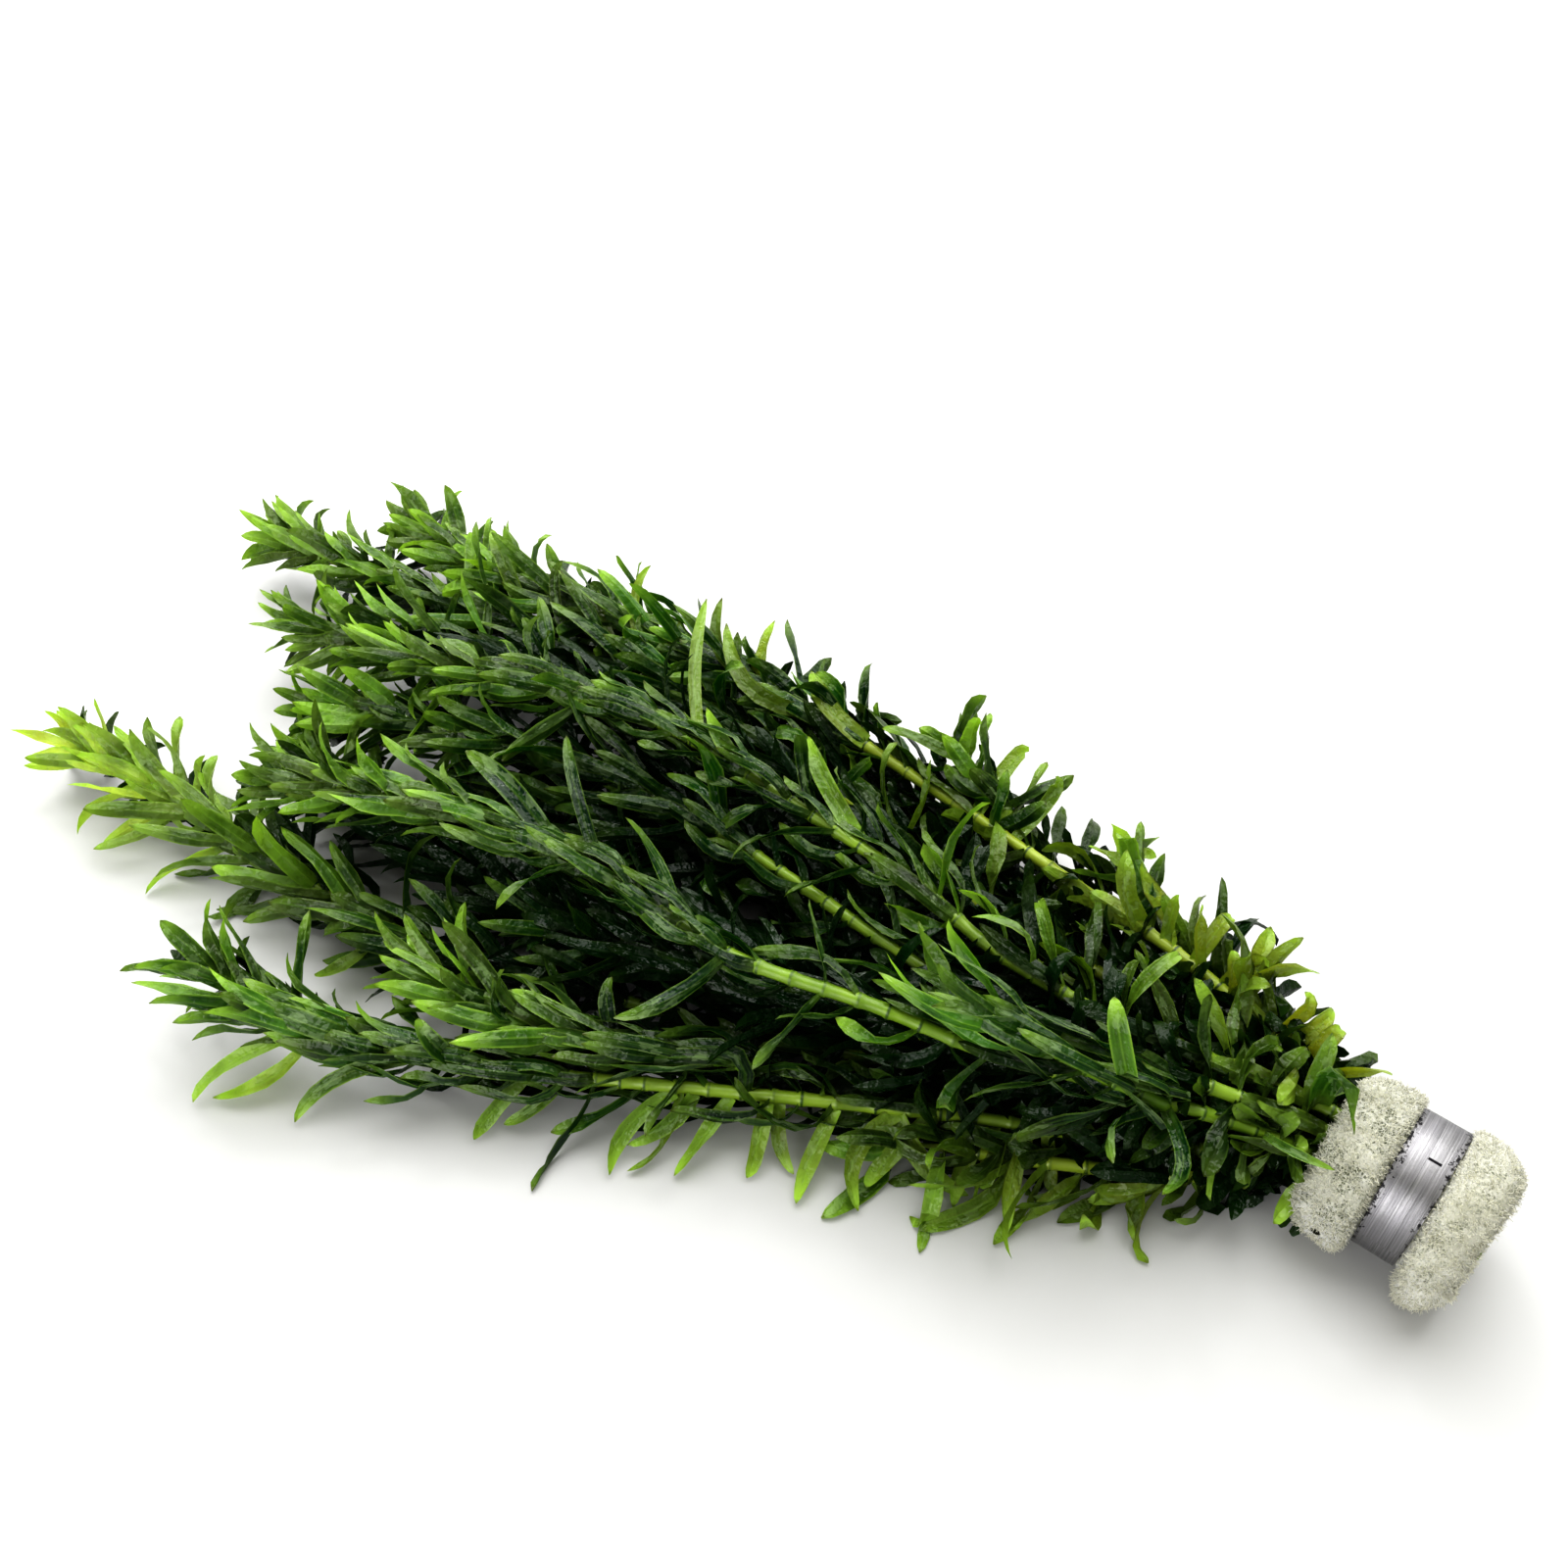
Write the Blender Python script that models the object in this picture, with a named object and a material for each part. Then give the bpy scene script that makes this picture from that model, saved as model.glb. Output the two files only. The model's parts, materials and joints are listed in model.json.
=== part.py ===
# A bunch of Brazilian waterweed lying on its side. Eleven leafy stems and four side shoots
# fan out of a sponge wrap that a strip of lead holds shut.
# Units are metres in Blender, and millimetres in the named values below.
# +X runs from the shoot tips to the cut ends, +Z is up, and the bunch rests on z = 0.
# The origin is under the middle of the whole bunch.

import math
import random

import bpy
from mathutils import Matrix, Vector
from mathutils.bvhtree import BVHTree

MM = 0.001
SEED = 7

# The collar: where the middle of the lead strip is, and how its axis turns from +X
COLLAR_CENTRE = Vector((11.5, -2.6, 13.5))
COLLAR_TURN = math.radians(-12.5)
CUT_END = 12.0
MOUTH = -13.0

# The sponge wrap, as half a section: (distance along the collar's axis, radius)
FOAM_HOLE_RADIUS = 6.8
FOAM_WAIST_RADIUS = 10.6
FOAM_LOBE_RADIUS = 13.8
FOAM_END_LOBE_RADIUS = 14.4
FOAM_SIDES = 28
FOAM_OUTLINE = (
    (-5.0, FOAM_HOLE_RADIUS),
    (8.0, FOAM_HOLE_RADIUS),
    (11.8, 8.2),
    (13.0, 11.0),
    (12.2, 13.2),
    (10.4, FOAM_END_LOBE_RADIUS),
    (6.8, FOAM_END_LOBE_RADIUS),
    (4.9, 13.2),
    (4.1, 11.6),
    (3.9, FOAM_WAIST_RADIUS),
    (-3.9, FOAM_WAIST_RADIUS),
    (-4.1, 11.6),
    (-5.0, 13.0),
    (-6.8, FOAM_LOBE_RADIUS),
    (-10.2, FOAM_LOBE_RADIUS),
    (-12.2, 12.8),
    (-13.0, 10.8),
    (-12.2, 9.2),
)
FOAM_SAG = 0.05

# The lead strip, wound once round the waist with its end lapped over its start
STRIP_WIDTH = 7.2
STRIP_THICKNESS = 0.5
STRIP_INNER_RADIUS = 10.9
STRIP_LAP_START = math.radians(285)
STRIP_LAP = math.radians(24)
STRIP_LIFT = 0.8
STRIP_STEP = math.radians(8)

# Stems and leaves
STEM_RADIUS = 1.3
STEM_GAP = 0.35
BARE_STEP = 6.0
WHORL_SPACING = 14.0
WHORL_HALF_HEIGHT = 1.1
FIRST_WHORL = 9.0
TIP_SPACING = 6.0
LEAVES_PER_WHORL = 4
WHORL_TWIST = math.radians(45)
LEAF_WIDTH = 4.4
LEAF_KEEL = 0.8
LEAF_MIDDLE = 0.45
FLOOR_GAP = 0.05
OUTER_RING = 4.9
INNER_RING = 1.9

# Each main stem: (angle and radius of its place in the collar, then the points it runs through
# from the collar's mouth to its growing tip)
STEMS = {
    "stem_01": (265, OUTER_RING, (
        (-28, -2, 7), (-58, -11, 8), (-90, -19, 8), (-130, -26, 8),
        (-160, -29, 8), (-190, -26, 8), (-225, -22, 9), (-256, -20, 10))),
    "stem_02": (165, OUTER_RING, (
        (-27, -10, 21), (-40, -14, 24), (-52, -18, 27), (-69, -20, 30),
        (-95, -22, 31), (-131, -14, 29), (-167, -15, 26), (-197, -23, 25))),
    "stem_03": (75, OUTER_RING, (
        (-27, 0, 22), (-38, -2, 25), (-58, 0, 28), (-73, 5, 30),
        (-104, 13, 31), (-139, 21, 30), (-174, 19, 27), (-203, 14, 24))),
    "stem_04": (350, OUTER_RING, (
        (-30, 12, 14), (-66, 20, 13), (-103, 34, 14), (-136, 43, 14),
        (-167, 47, 13), (-209, 49, 12), (-262, 52, 12))),
    "stem_05": (30, OUTER_RING, (
        (-27, 19, 18), (-55, 29, 18), (-82, 38, 18), (-120, 49, 18),
        (-162, 56, 16), (-201, 61, 14), (-237, 71, 13))),
    "stem_06": (118, OUTER_RING, (
        (-28, -6, 23), (-63, -6, 24), (-96, 2, 24), (-134, 13, 20),
        (-177, 11, 17), (-213, 3, 15))),
    "stem_07": (222, OUTER_RING, (
        (-30, -11, 8), (-51, -18, 9), (-96, -35, 10), (-123, -45, 10),
        (-154, -54, 12), (-189, -55, 18))),
    "stem_08": (35, INNER_RING, (
        (-30, 5, 17), (-73, 13, 17), (-108, 24, 18), (-144, 31, 17),
        (-182, 34, 16), (-236, 25, 13))),
    "stem_09": (155, INNER_RING, (
        (-28, -4, 15), (-71, -13, 16), (-106, -17, 17), (-140, -23, 17))),
    "stem_10": (275, INNER_RING, (
        (-28, 2, 11), (-70, -1, 8), (-110, -8, 8), (-147, -13, 8),
        (-183, -7, 9), (-208, -2, 13))),
    "stem_11": (308, OUTER_RING, (
        (-28, 12, 8), (-70, 26, 7), (-110, 40, 7), (-150, 51, 7), (-182, 60, 7))),
}

# Side shoots leave a main stem, and start just clear of it
SIDE_SHOOTS = {
    "side_shoot_1": ((-88, -29, 13), (-105, -35, 14), (-121, -38, 15), (-153, -39, 16)),
    "side_shoot_2": ((-26, -14, 26), (-42, -17, 32), (-61, -17, 36)),
    "side_shoot_3": ((-69, 37, 20), (-79, 43, 22), (-90, 53, 26)),
    "side_shoot_4": ((-41, 28, 20), (-44, 32, 21), (-48, 39, 22)),
}

# How the leaves stand, from the collar (0) to the tip (1): (place, spread from the stem in
# degrees, further bend outwards in degrees, length in mm)
LEAF_STAGES = (
    (0.0, 50, 22, 19),
    (0.45, 44, 20, 21),
    (0.7, 32, 12, 21),
    (0.9, 26, 6, 19),
    (1.0, 17, 2, 15),
)

# What a leaf tries in turn where a neighbour is in its way: (part of its spread, part of its length)
LEAF_TRIES = ((1.0, 1.0), (0.7, 1.0), (1.25, 0.9), (0.5, 0.9), (1.0, 0.65), (0.6, 0.6), (0.8, 0.42))


def clear_scene():
    for item in list(bpy.data.objects):
        bpy.data.objects.remove(item)


def make_material(name, colour, roughness, metallic=0.0):
    material = bpy.data.materials.new(name)
    material.use_nodes = True
    shader = material.node_tree.nodes["Principled BSDF"]
    shader.inputs["Base Color"].default_value = (*colour, 1.0)
    shader.inputs["Roughness"].default_value = roughness
    shader.inputs["Metallic"].default_value = metallic
    return material


def make_object(name, points, faces, material, parent):
    mesh = bpy.data.meshes.new(name)
    mesh.from_pydata([point * MM for point in points], [], faces)
    mesh.materials.append(material)
    item = bpy.data.objects.new(name, mesh)
    bpy.context.scene.collection.objects.link(item)
    item.parent = parent
    return item


# The collar's own directions: along its axis, sideways and up
COLLAR_ALONG = Vector((math.cos(COLLAR_TURN), math.sin(COLLAR_TURN), 0.0))
COLLAR_SIDE = Vector((-math.sin(COLLAR_TURN), math.cos(COLLAR_TURN), 0.0))
UP = Vector((0.0, 0.0, 1.0))


def collar_point(along, radius, angle):
    across = COLLAR_SIDE * math.cos(angle) + UP * math.sin(angle)
    return COLLAR_CENTRE + COLLAR_ALONG * along + across * radius


def loft_rings(rings, closed):
    """Faces between rings of equal size, which are numbered one after another."""
    count = len(rings[0])
    last = len(rings) if closed else len(rings) - 1
    faces = []
    for row in range(last):
        first = row * count
        second = (row + 1) % len(rings) * count
        for column in range(count):
            following = (column + 1) % count
            faces.append((first + column, first + following, second + following, second + column))
    return faces


def build_foam_wrap(material, parent):
    """A turned ring with two soft lobes, pressed flat where it lies on the table."""
    rings = []
    for step in range(FOAM_SIDES):
        angle = math.tau * step / FOAM_SIDES
        ring = []
        for along, radius in FOAM_OUTLINE:
            sag = 1.0
            if radius > FOAM_WAIST_RADIUS:
                sag += FOAM_SAG * math.cos(2 * (angle - math.radians(250)))
            point = collar_point(along, radius * sag, angle)
            point.z = max(point.z, 0.0)
            ring.append(point)
        rings.append(ring)
    points = [point for ring in rings for point in ring]
    return make_object("foam_wrap", points, loft_rings(rings, True), material, parent)


def build_lead_strip(material, parent):
    """A flat strip wound once round the waist, its last stretch lapped over its first."""
    sweep = math.tau + STRIP_LAP
    steps = round(sweep / STRIP_STEP)
    rings = []
    for step in range(steps + 1):
        turned = sweep * step / steps
        climb = min(max((turned - math.tau + 2 * STRIP_LAP) / (1.6 * STRIP_LAP), 0.0), 1.0)
        inner = STRIP_INNER_RADIUS + STRIP_LIFT * climb * climb * (3 - 2 * climb)
        outer = inner + STRIP_THICKNESS
        half = STRIP_WIDTH / 2
        corners = ((-half, inner), (half, inner), (half, outer), (-half, outer))
        rings.append([collar_point(along, radius, STRIP_LAP_START + turned) for along, radius in corners])
    points = [point for ring in rings for point in ring]
    faces = loft_rings(rings, False)
    final = len(points) - 4
    faces.append((3, 2, 1, 0))
    faces.append((final, final + 1, final + 2, final + 3))
    return make_object("lead_strip", points, faces, material, parent)


def smooth_curve(corners, pieces=14):
    """A smooth run through the corners, spaced by how far apart they are."""
    ends = [2 * corners[0] - corners[1], *corners, 2 * corners[-1] - corners[-2]]
    curve = []
    for index in range(1, len(ends) - 2):
        a, b, c, d = ends[index - 1:index + 3]
        t1 = (b - a).length ** 0.5
        t2 = t1 + (c - b).length ** 0.5
        t3 = t2 + (d - c).length ** 0.5
        for piece in range(pieces):
            t = t1 + (t2 - t1) * piece / pieces
            ab = a.lerp(b, t / t1)
            bc = b.lerp(c, (t - t1) / (t2 - t1))
            cd = c.lerp(d, (t - t2) / (t3 - t2))
            abc = ab.lerp(bc, t / t2)
            bcd = bc.lerp(cd, (t - t1) / (t3 - t1))
            curve.append(abc.lerp(bcd, (t - t1) / (t2 - t1)))
    curve.append(corners[-1])
    return curve


class Route:
    """A stem's centre line, with a sideways direction that never twists suddenly."""

    def __init__(self, corners):
        self.points = smooth_curve([Vector(corner) for corner in corners])
        self.lengths = [0.0]
        for before, after in zip(self.points, self.points[1:]):
            self.lengths.append(self.lengths[-1] + (after - before).length)
        self.length = self.lengths[-1]
        self.tangents = []
        for index in range(len(self.points)):
            before = self.points[max(index - 1, 0)]
            after = self.points[min(index + 1, len(self.points) - 1)]
            self.tangents.append((after - before).normalized())
        side = self.tangents[0].cross(UP).normalized()
        self.sides = []
        for tangent in self.tangents:
            side = (side - tangent * side.dot(tangent)).normalized()
            self.sides.append(side)

    def at(self, distance):
        distance = min(max(distance, 0.0), self.length)
        index = 0
        while index < len(self.lengths) - 2 and self.lengths[index + 1] < distance:
            index += 1
        span = self.lengths[index + 1] - self.lengths[index]
        share = (distance - self.lengths[index]) / span
        point = self.points[index].lerp(self.points[index + 1], share)
        tangent = self.tangents[index].lerp(self.tangents[index + 1], share).normalized()
        side = self.sides[index].lerp(self.sides[index + 1], share)
        side = (side - tangent * side.dot(tangent)).normalized()
        return point, tangent, side


def leaf_stage(place):
    """The spread, bend and length of a leaf at a place between the collar and the tip."""
    for lower, upper in zip(LEAF_STAGES, LEAF_STAGES[1:]):
        if place <= upper[0]:
            share = (place - lower[0]) / (upper[0] - lower[0])
            return [low + (high - low) * share for low, high in zip(lower[1:], upper[1:])]
    return list(LEAF_STAGES[-1][1:])


def four_corners(route, distance, twist, radius):
    point, tangent, side = route.at(distance)
    turn = Matrix.Rotation(twist, 3, tangent)
    quarter = Matrix.Rotation(math.pi / 2, 3, tangent)
    arm = turn @ side
    corners = []
    for _ in range(LEAVES_PER_WHORL):
        corners.append(point + arm * radius)
        arm = quarter @ arm
    return corners


def lift_off_floor(points):
    drop = FLOOR_GAP - min(point.z for point in points)
    if drop > 0:
        for point in points:
            point.z += drop


def leaf_points(base, tangent, spread, bend, length):
    """The two edges, the keel and the tip of a blade that grows from four base corners.

    The base runs: lower corner, next lower corner, next upper corner, upper corner.
    """
    centre = sum(base, Vector()) / 4
    across = (base[1] - base[0]).normalized()
    outward = across.cross(tangent).normalized()
    if outward.dot(base[0] - (centre - outward)) < 0:
        outward.negate()
    lean = tangent * math.cos(spread) + outward * math.sin(spread)
    face = tangent * math.sin(spread) - outward * math.cos(spread)
    middle = centre + lean * length * LEAF_MIDDLE
    edges = [
        middle - across * LEAF_WIDTH / 2,
        middle + across * LEAF_WIDTH / 2,
        middle - face * LEAF_KEEL,
    ]
    lift_off_floor(edges)
    middle = (edges[0] + edges[1]) / 2
    final = tangent * math.cos(spread + bend) + outward * math.sin(spread + bend)
    tip = [middle + final * length * (1 - LEAF_MIDDLE)]
    lift_off_floor(tip)
    return edges + tip


# A blade's faces by corner: 0-3 the base, 4 and 5 its edges, 6 its keel, 7 its tip
LEAF_FACES = (
    (0, 1, 6),
    (1, 2, 5), (1, 5, 6),
    (2, 3, 4), (2, 4, 5),
    (3, 0, 4), (0, 6, 4),
    (5, 4, 7), (6, 5, 7), (4, 6, 7),
)


def tree_of(points, faces):
    return BVHTree.FromPolygons([tuple(point) for point in points], faces, all_triangles=True)


def bare_tube(route):
    """A stem with no leaves, a little too thick, as what other shoots' leaves stay clear of."""
    count = max(int(route.length / 4), 2)
    points = []
    for step in range(count + 1):
        points += four_corners(route, route.length * step / count, 0.0, STEM_RADIUS * 1.42 + STEM_GAP)
    faces = []
    for step in range(count):
        for side in range(4):
            low = step * 4 + side
            next_low = step * 4 + (side + 1) % 4
            faces.append((low, next_low, next_low + 4))
            faces.append((low, next_low + 4, low + 4))
    return tree_of(points, faces)


class Shoot:
    """One stem with its whorls of leaves, grown as a single closed body."""

    def __init__(self, name, route, first_whorl, chance):
        self.name = name
        self.route = route
        self.first_whorl = first_whorl
        self.chance = chance
        self.points = []
        self.faces = []
        self.recent = []

    def add_ring(self, distance, twist, radius):
        start = len(self.points)
        self.points += four_corners(self.route, distance, twist, radius)
        return [start + side for side in range(LEAVES_PER_WHORL)]

    def join_rings(self, low, high):
        for side in range(LEAVES_PER_WHORL):
            after = (side + 1) % LEAVES_PER_WHORL
            self.faces.append((low[side], low[after], high[after]))
            self.faces.append((low[side], high[after], high[side]))

    def whorl_places(self):
        places = []
        place = self.first_whorl + self.chance.uniform(-2, 2)
        while place < self.route.length - 2.2 * TIP_SPACING:
            places.append(place)
            place += WHORL_SPACING * self.chance.uniform(0.92, 1.08)
        places.append(self.route.length - 1.1 * TIP_SPACING)
        return places

    def grow_leaf(self, corners, tangent, place, obstacles):
        """One blade on a side of the whorl, or the bare side where nothing fits."""
        spread, bend, length = leaf_stage(place)
        spread *= self.chance.uniform(0.75, 1.25)
        bend *= self.chance.uniform(0.3, 1.6)
        length *= self.chance.uniform(0.85, 1.12)
        base = [self.points[corner] for corner in corners]
        for spread_share, length_share in LEAF_TRIES:
            lean = math.radians(spread * spread_share)
            curl = math.radians(bend * spread_share)
            blade = leaf_points(base, tangent, lean, curl, length * length_share)
            everything = base + blade
            tree = tree_of(everything, LEAF_FACES)
            blocked = any(tree.overlap(other) for other in obstacles)
            blocked = blocked or any(tree.overlap(other) for other in self.recent)
            if not blocked:
                start = len(self.points)
                self.points += blade
                numbers = list(corners) + [start + index for index in range(4)]
                self.faces += [tuple(numbers[corner] for corner in face) for face in LEAF_FACES]
                return tree
        self.faces.append((corners[0], corners[1], corners[2]))
        self.faces.append((corners[0], corners[2], corners[3]))
        return None

    def grow(self, obstacles):
        twist = self.chance.uniform(0, math.pi / 2)
        ring = self.add_ring(0.0, twist, STEM_RADIUS)
        self.faces += [(ring[2], ring[1], ring[0]), (ring[3], ring[2], ring[0])]
        bare = BARE_STEP
        while bare < self.first_whorl - BARE_STEP / 2:
            following = self.add_ring(bare, twist, STEM_RADIUS)
            self.join_rings(ring, following)
            ring = following
            bare += BARE_STEP
        for distance in self.whorl_places():
            twist += WHORL_TWIST
            low = self.add_ring(distance - WHORL_HALF_HEIGHT, twist, STEM_RADIUS)
            self.join_rings(ring, low)
            high = self.add_ring(distance + WHORL_HALF_HEIGHT, twist, STEM_RADIUS)
            tangent = self.route.at(distance)[1]
            place = distance / self.route.length
            grown = []
            for side in range(LEAVES_PER_WHORL):
                after = (side + 1) % LEAVES_PER_WHORL
                corners = (low[side], low[after], high[after], high[side])
                grown.append(self.grow_leaf(corners, tangent, place, obstacles))
            self.recent = [tree for tree in grown if tree] + self.recent[:8]
            ring = high
        self.points.append(self.route.points[-1])
        bud = len(self.points) - 1
        for side in range(LEAVES_PER_WHORL):
            self.faces.append((ring[side], ring[(side + 1) % LEAVES_PER_WHORL], bud))


def stem_route(angle, radius, run):
    """From the cut end through the collar at its own place, then along the hand-laid points."""
    turned = math.radians(angle)
    inside = [collar_point(along, radius, turned) for along in (CUT_END, 0.0, MOUTH)]
    return Route([*inside, *run])


def build_shoots(material, parent):
    routes = {name: stem_route(*plan) for name, plan in STEMS.items()}
    routes.update({name: Route(run) for name, run in SIDE_SHOOTS.items()})
    bare = {name: bare_tube(route) for name, route in routes.items()}
    order = (
        "side_shoot_2", "stem_02", "stem_03", "stem_07", "stem_01", "stem_05", "stem_06",
        "side_shoot_1", "side_shoot_3", "side_shoot_4", "stem_04", "stem_08", "stem_10",
        "stem_09", "stem_11",
    )
    grown = {}
    for number, name in enumerate(order):
        inside = CUT_END - MOUTH
        first = FIRST_WHORL + inside if name in STEMS else 6.0
        shoot = Shoot(name, routes[name], first, random.Random(SEED + number))
        obstacles = [tree for other, tree in bare.items() if other != name]
        obstacles += [tree_of(other.points, other.faces) for other in grown.values()]
        shoot.grow(obstacles)
        grown[name] = shoot
    for name in sorted(grown):
        make_object(name, grown[name].points, grown[name].faces, material, parent)


def centre_on_bunch(holder):
    """Moves the holder so that the origin is under the middle of everything it carries."""
    corners = [
        child.matrix_world @ vertex.co
        for child in holder.children
        for vertex in child.data.vertices
    ]
    for axis in (0, 1):
        values = [corner[axis] for corner in corners]
        holder.location[axis] = -(min(values) + max(values)) / 2


def main():
    clear_scene()
    leaf = make_material("waterweed", (0.055, 0.19, 0.02), 0.4)
    foam = make_material("sponge", (0.76, 0.78, 0.62), 0.95)
    lead = make_material("lead", (0.38, 0.37, 0.40), 0.42, 1.0)
    bunch = bpy.data.objects.new("bunch", None)
    bpy.context.scene.collection.objects.link(bunch)
    build_foam_wrap(foam, bunch)
    build_lead_strip(lead, bunch)
    build_shoots(leaf, bunch)
    bpy.context.view_layer.update()
    centre_on_bunch(bunch)


main()
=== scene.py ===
import json
import math

import bpy
import numpy as np
from mathutils import Matrix, Vector
from mathutils.kdtree import KDTree

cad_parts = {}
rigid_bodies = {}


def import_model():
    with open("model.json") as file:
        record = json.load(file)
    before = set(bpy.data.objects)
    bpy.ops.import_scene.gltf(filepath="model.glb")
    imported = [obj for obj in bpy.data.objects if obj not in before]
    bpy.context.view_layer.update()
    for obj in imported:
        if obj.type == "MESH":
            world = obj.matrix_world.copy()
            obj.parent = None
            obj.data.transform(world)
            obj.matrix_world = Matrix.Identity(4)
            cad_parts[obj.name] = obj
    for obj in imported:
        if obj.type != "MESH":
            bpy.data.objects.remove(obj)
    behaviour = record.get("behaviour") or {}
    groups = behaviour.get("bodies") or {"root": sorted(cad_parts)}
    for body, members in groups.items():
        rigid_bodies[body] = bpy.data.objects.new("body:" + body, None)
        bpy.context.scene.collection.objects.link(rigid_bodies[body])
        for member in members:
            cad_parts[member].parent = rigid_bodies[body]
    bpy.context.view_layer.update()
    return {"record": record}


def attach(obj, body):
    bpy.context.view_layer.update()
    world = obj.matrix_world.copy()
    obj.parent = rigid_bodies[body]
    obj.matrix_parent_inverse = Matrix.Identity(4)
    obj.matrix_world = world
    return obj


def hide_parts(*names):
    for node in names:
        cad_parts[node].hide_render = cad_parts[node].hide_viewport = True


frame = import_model()
mm = 0.001
print("frame loaded")

# Where the bunch is, in mm: the flat under the end lobe of the sponge is a mount of the frame
collar = {
    "centre": Vector((11.5, -2.6, 13.5)),
    "turn": math.radians(-12.5),
    "restAlong": 8.6,  # where along the axis the end lobe rests on the table
    "cutEnd": 12.0,  # where the stems are cut
    "mouth": -13.0,  # where they come out of the sponge
}
collarAlong = Vector((math.cos(collar["turn"]), math.sin(collar["turn"]), 0))
collarSide = Vector((-math.sin(collar["turn"]), math.cos(collar["turn"]), 0))
collarUp = Vector((0, 0, 1))
restPoint = Vector(frame["record"]["mounts"][0]["pos_m"]) / mm
drawnRest = collar["centre"] + collarAlong * collar["restAlong"]
bunchShift = Vector((restPoint.x - drawnRest.x, restPoint.y - drawnRest.y, 0))
collarMiddle = collar["centre"] + bunchShift


def hexColour(text):
    channels = [int(text[start:start + 2], 16) / 255 for start in (1, 3, 5)]
    linear = [c / 12.92 if c <= 0.04045 else ((c + 0.055) / 1.055) ** 2.4 for c in channels]
    return (*linear, 1.0)


def addNode(material, kind, inputs=None, **settings):
    # an input is a socket to link from, a colour such as "#aabbcc" or a plain value
    tree = material.node_tree
    item = tree.nodes.new("ShaderNode" + kind)
    for name, value in settings.items():
        setattr(item, name, value)
    for socket, value in (inputs or {}).items():
        if isinstance(value, bpy.types.NodeSocket):
            tree.links.new(value, item.inputs[socket])
        elif isinstance(value, str):
            item.inputs[socket].default_value = hexColour(value)
        else:
            item.inputs[socket].default_value = value
    return item


def setRamp(ramp, stops):
    elements = ramp.color_ramp.elements
    while len(elements) < len(stops):
        elements.new(0.5)
    for element, (place, colour) in zip(elements, stops):
        element.position = place
        element.color = hexColour(colour) if isinstance(colour, str) else colour


def nodeTools(material):
    # short forms for the nodes that the materials use most; each gives back its output
    def node(kind, inputs=None, **settings):
        return addNode(material, kind, inputs, **settings).outputs

    def maths(operation, *values):
        return node("Math", dict(enumerate(values)), operation=operation)["Value"]

    def mapped(value, start, end, low, high):
        return node("MapRange", {
            "Value": value,
            "From Min": start,
            "From Max": end,
            "To Min": low,
            "To Max": high,
        })["Result"]

    def mixed(share, first, second):
        return node("Mix", {"Factor": share, "A": first, "B": second}, data_type="RGBA")["Result"]

    def noise(vector, scale, detail=2.0, roughness=0.5):
        return node("TexNoise", {
            "Vector": vector, "Scale": scale, "Detail": detail, "Roughness": roughness})["Fac"]

    def ramp(value, *stops):
        item = addNode(material, "ValToRGB", {"Fac": value})
        setRamp(item, stops)
        return item.outputs["Color"]

    def bump(height, strength, distance, **under):
        return node("Bump", {
            "Height": height, "Strength": strength, "Distance": distance, **under})["Normal"]

    return node, mixed, noise, mapped, maths, bump, ramp


def newMaterial(name):
    material = bpy.data.materials.new(name)
    material.use_nodes = True
    material.node_tree.nodes.clear()
    return material


def finishMaterial(material, shader):
    addNode(material, "OutputMaterial", {"Surface": shader})
    return material


def takeUp(item):
    # only this piece selected, and active
    bpy.ops.object.select_all(action="DESELECT")
    item.select_set(True)
    bpy.context.view_layer.objects.active = item


# Camera: 1450 px focal length on a 1600 px frame, 208 mm above the table and 45 degrees down
view = {
    "foot": Vector((-23.45, -142.1, 208.0)),
    "down": math.radians(45),
    "turn": math.radians(27),
    "focalPixels": 1450,
    "framePixels": 1600,
    "nearest": 0.005,
}


def setCamera():
    data = bpy.data.cameras.new("camera")
    data.sensor_fit = "HORIZONTAL"
    data.angle = 2 * math.atan(view["framePixels"] / 2 / view["focalPixels"])
    data.clip_start = view["nearest"]
    camera = bpy.data.objects.new("camera", data)
    camera.location = (view["foot"] + bunchShift) * mm
    camera.rotation_euler = (math.pi / 2 - view["down"], 0, view["turn"])
    bpy.context.scene.collection.objects.link(camera)
    bpy.context.scene.camera = camera


# Light: a faintly warm room, bright overhead and dimmer near the horizon, dark where the camera
# stands. A big soft light hangs above and behind the bunch, a weaker one stands at the tips' side,
# one low in front and one low behind, and a small one gives the wet leaves their sharp glints
light = {
    "room": ((0.0, 0.34), (0.28, 0.34), (0.5, 0.42), (0.75, 0.6), (1.0, 1.0)),  # height, level
    "tint": (1.0, 1.0, 0.9),
    "dark": {"towards": (-0.128, -0.581, 0.804), "near": 0.985, "far": 0.955, "depth": 0.97},
    "lamps": {
        "key": {"size": 1.2, "power": 10.8, "place": (-0.1, 0.36, 0.93)},
        "side": {"size": 0.4, "power": 1.6, "place": (-0.6, 0.35, 0.4)},
        "front": {"size": 0.8, "power": 5.6, "place": (-0.18, -0.83, 0.29)},
        "back": {"size": 0.9, "power": 2.6, "place": (0.17, 0.82, 0.4)},
        "glint": {"size": 0.14, "power": 0.8, "place": (-0.3, 0.5, 0.82)},
    },
}
table = {
    "size": 6,  # metres
    "below": 0.0002,  # how far under the bunch, so that nothing touches it
    "shades": ("#b4b4b5", "#b9b9ba"),
    "grain": 40.0,
    "roughness": 0.55,
    "shine": 0.3,
}


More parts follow.
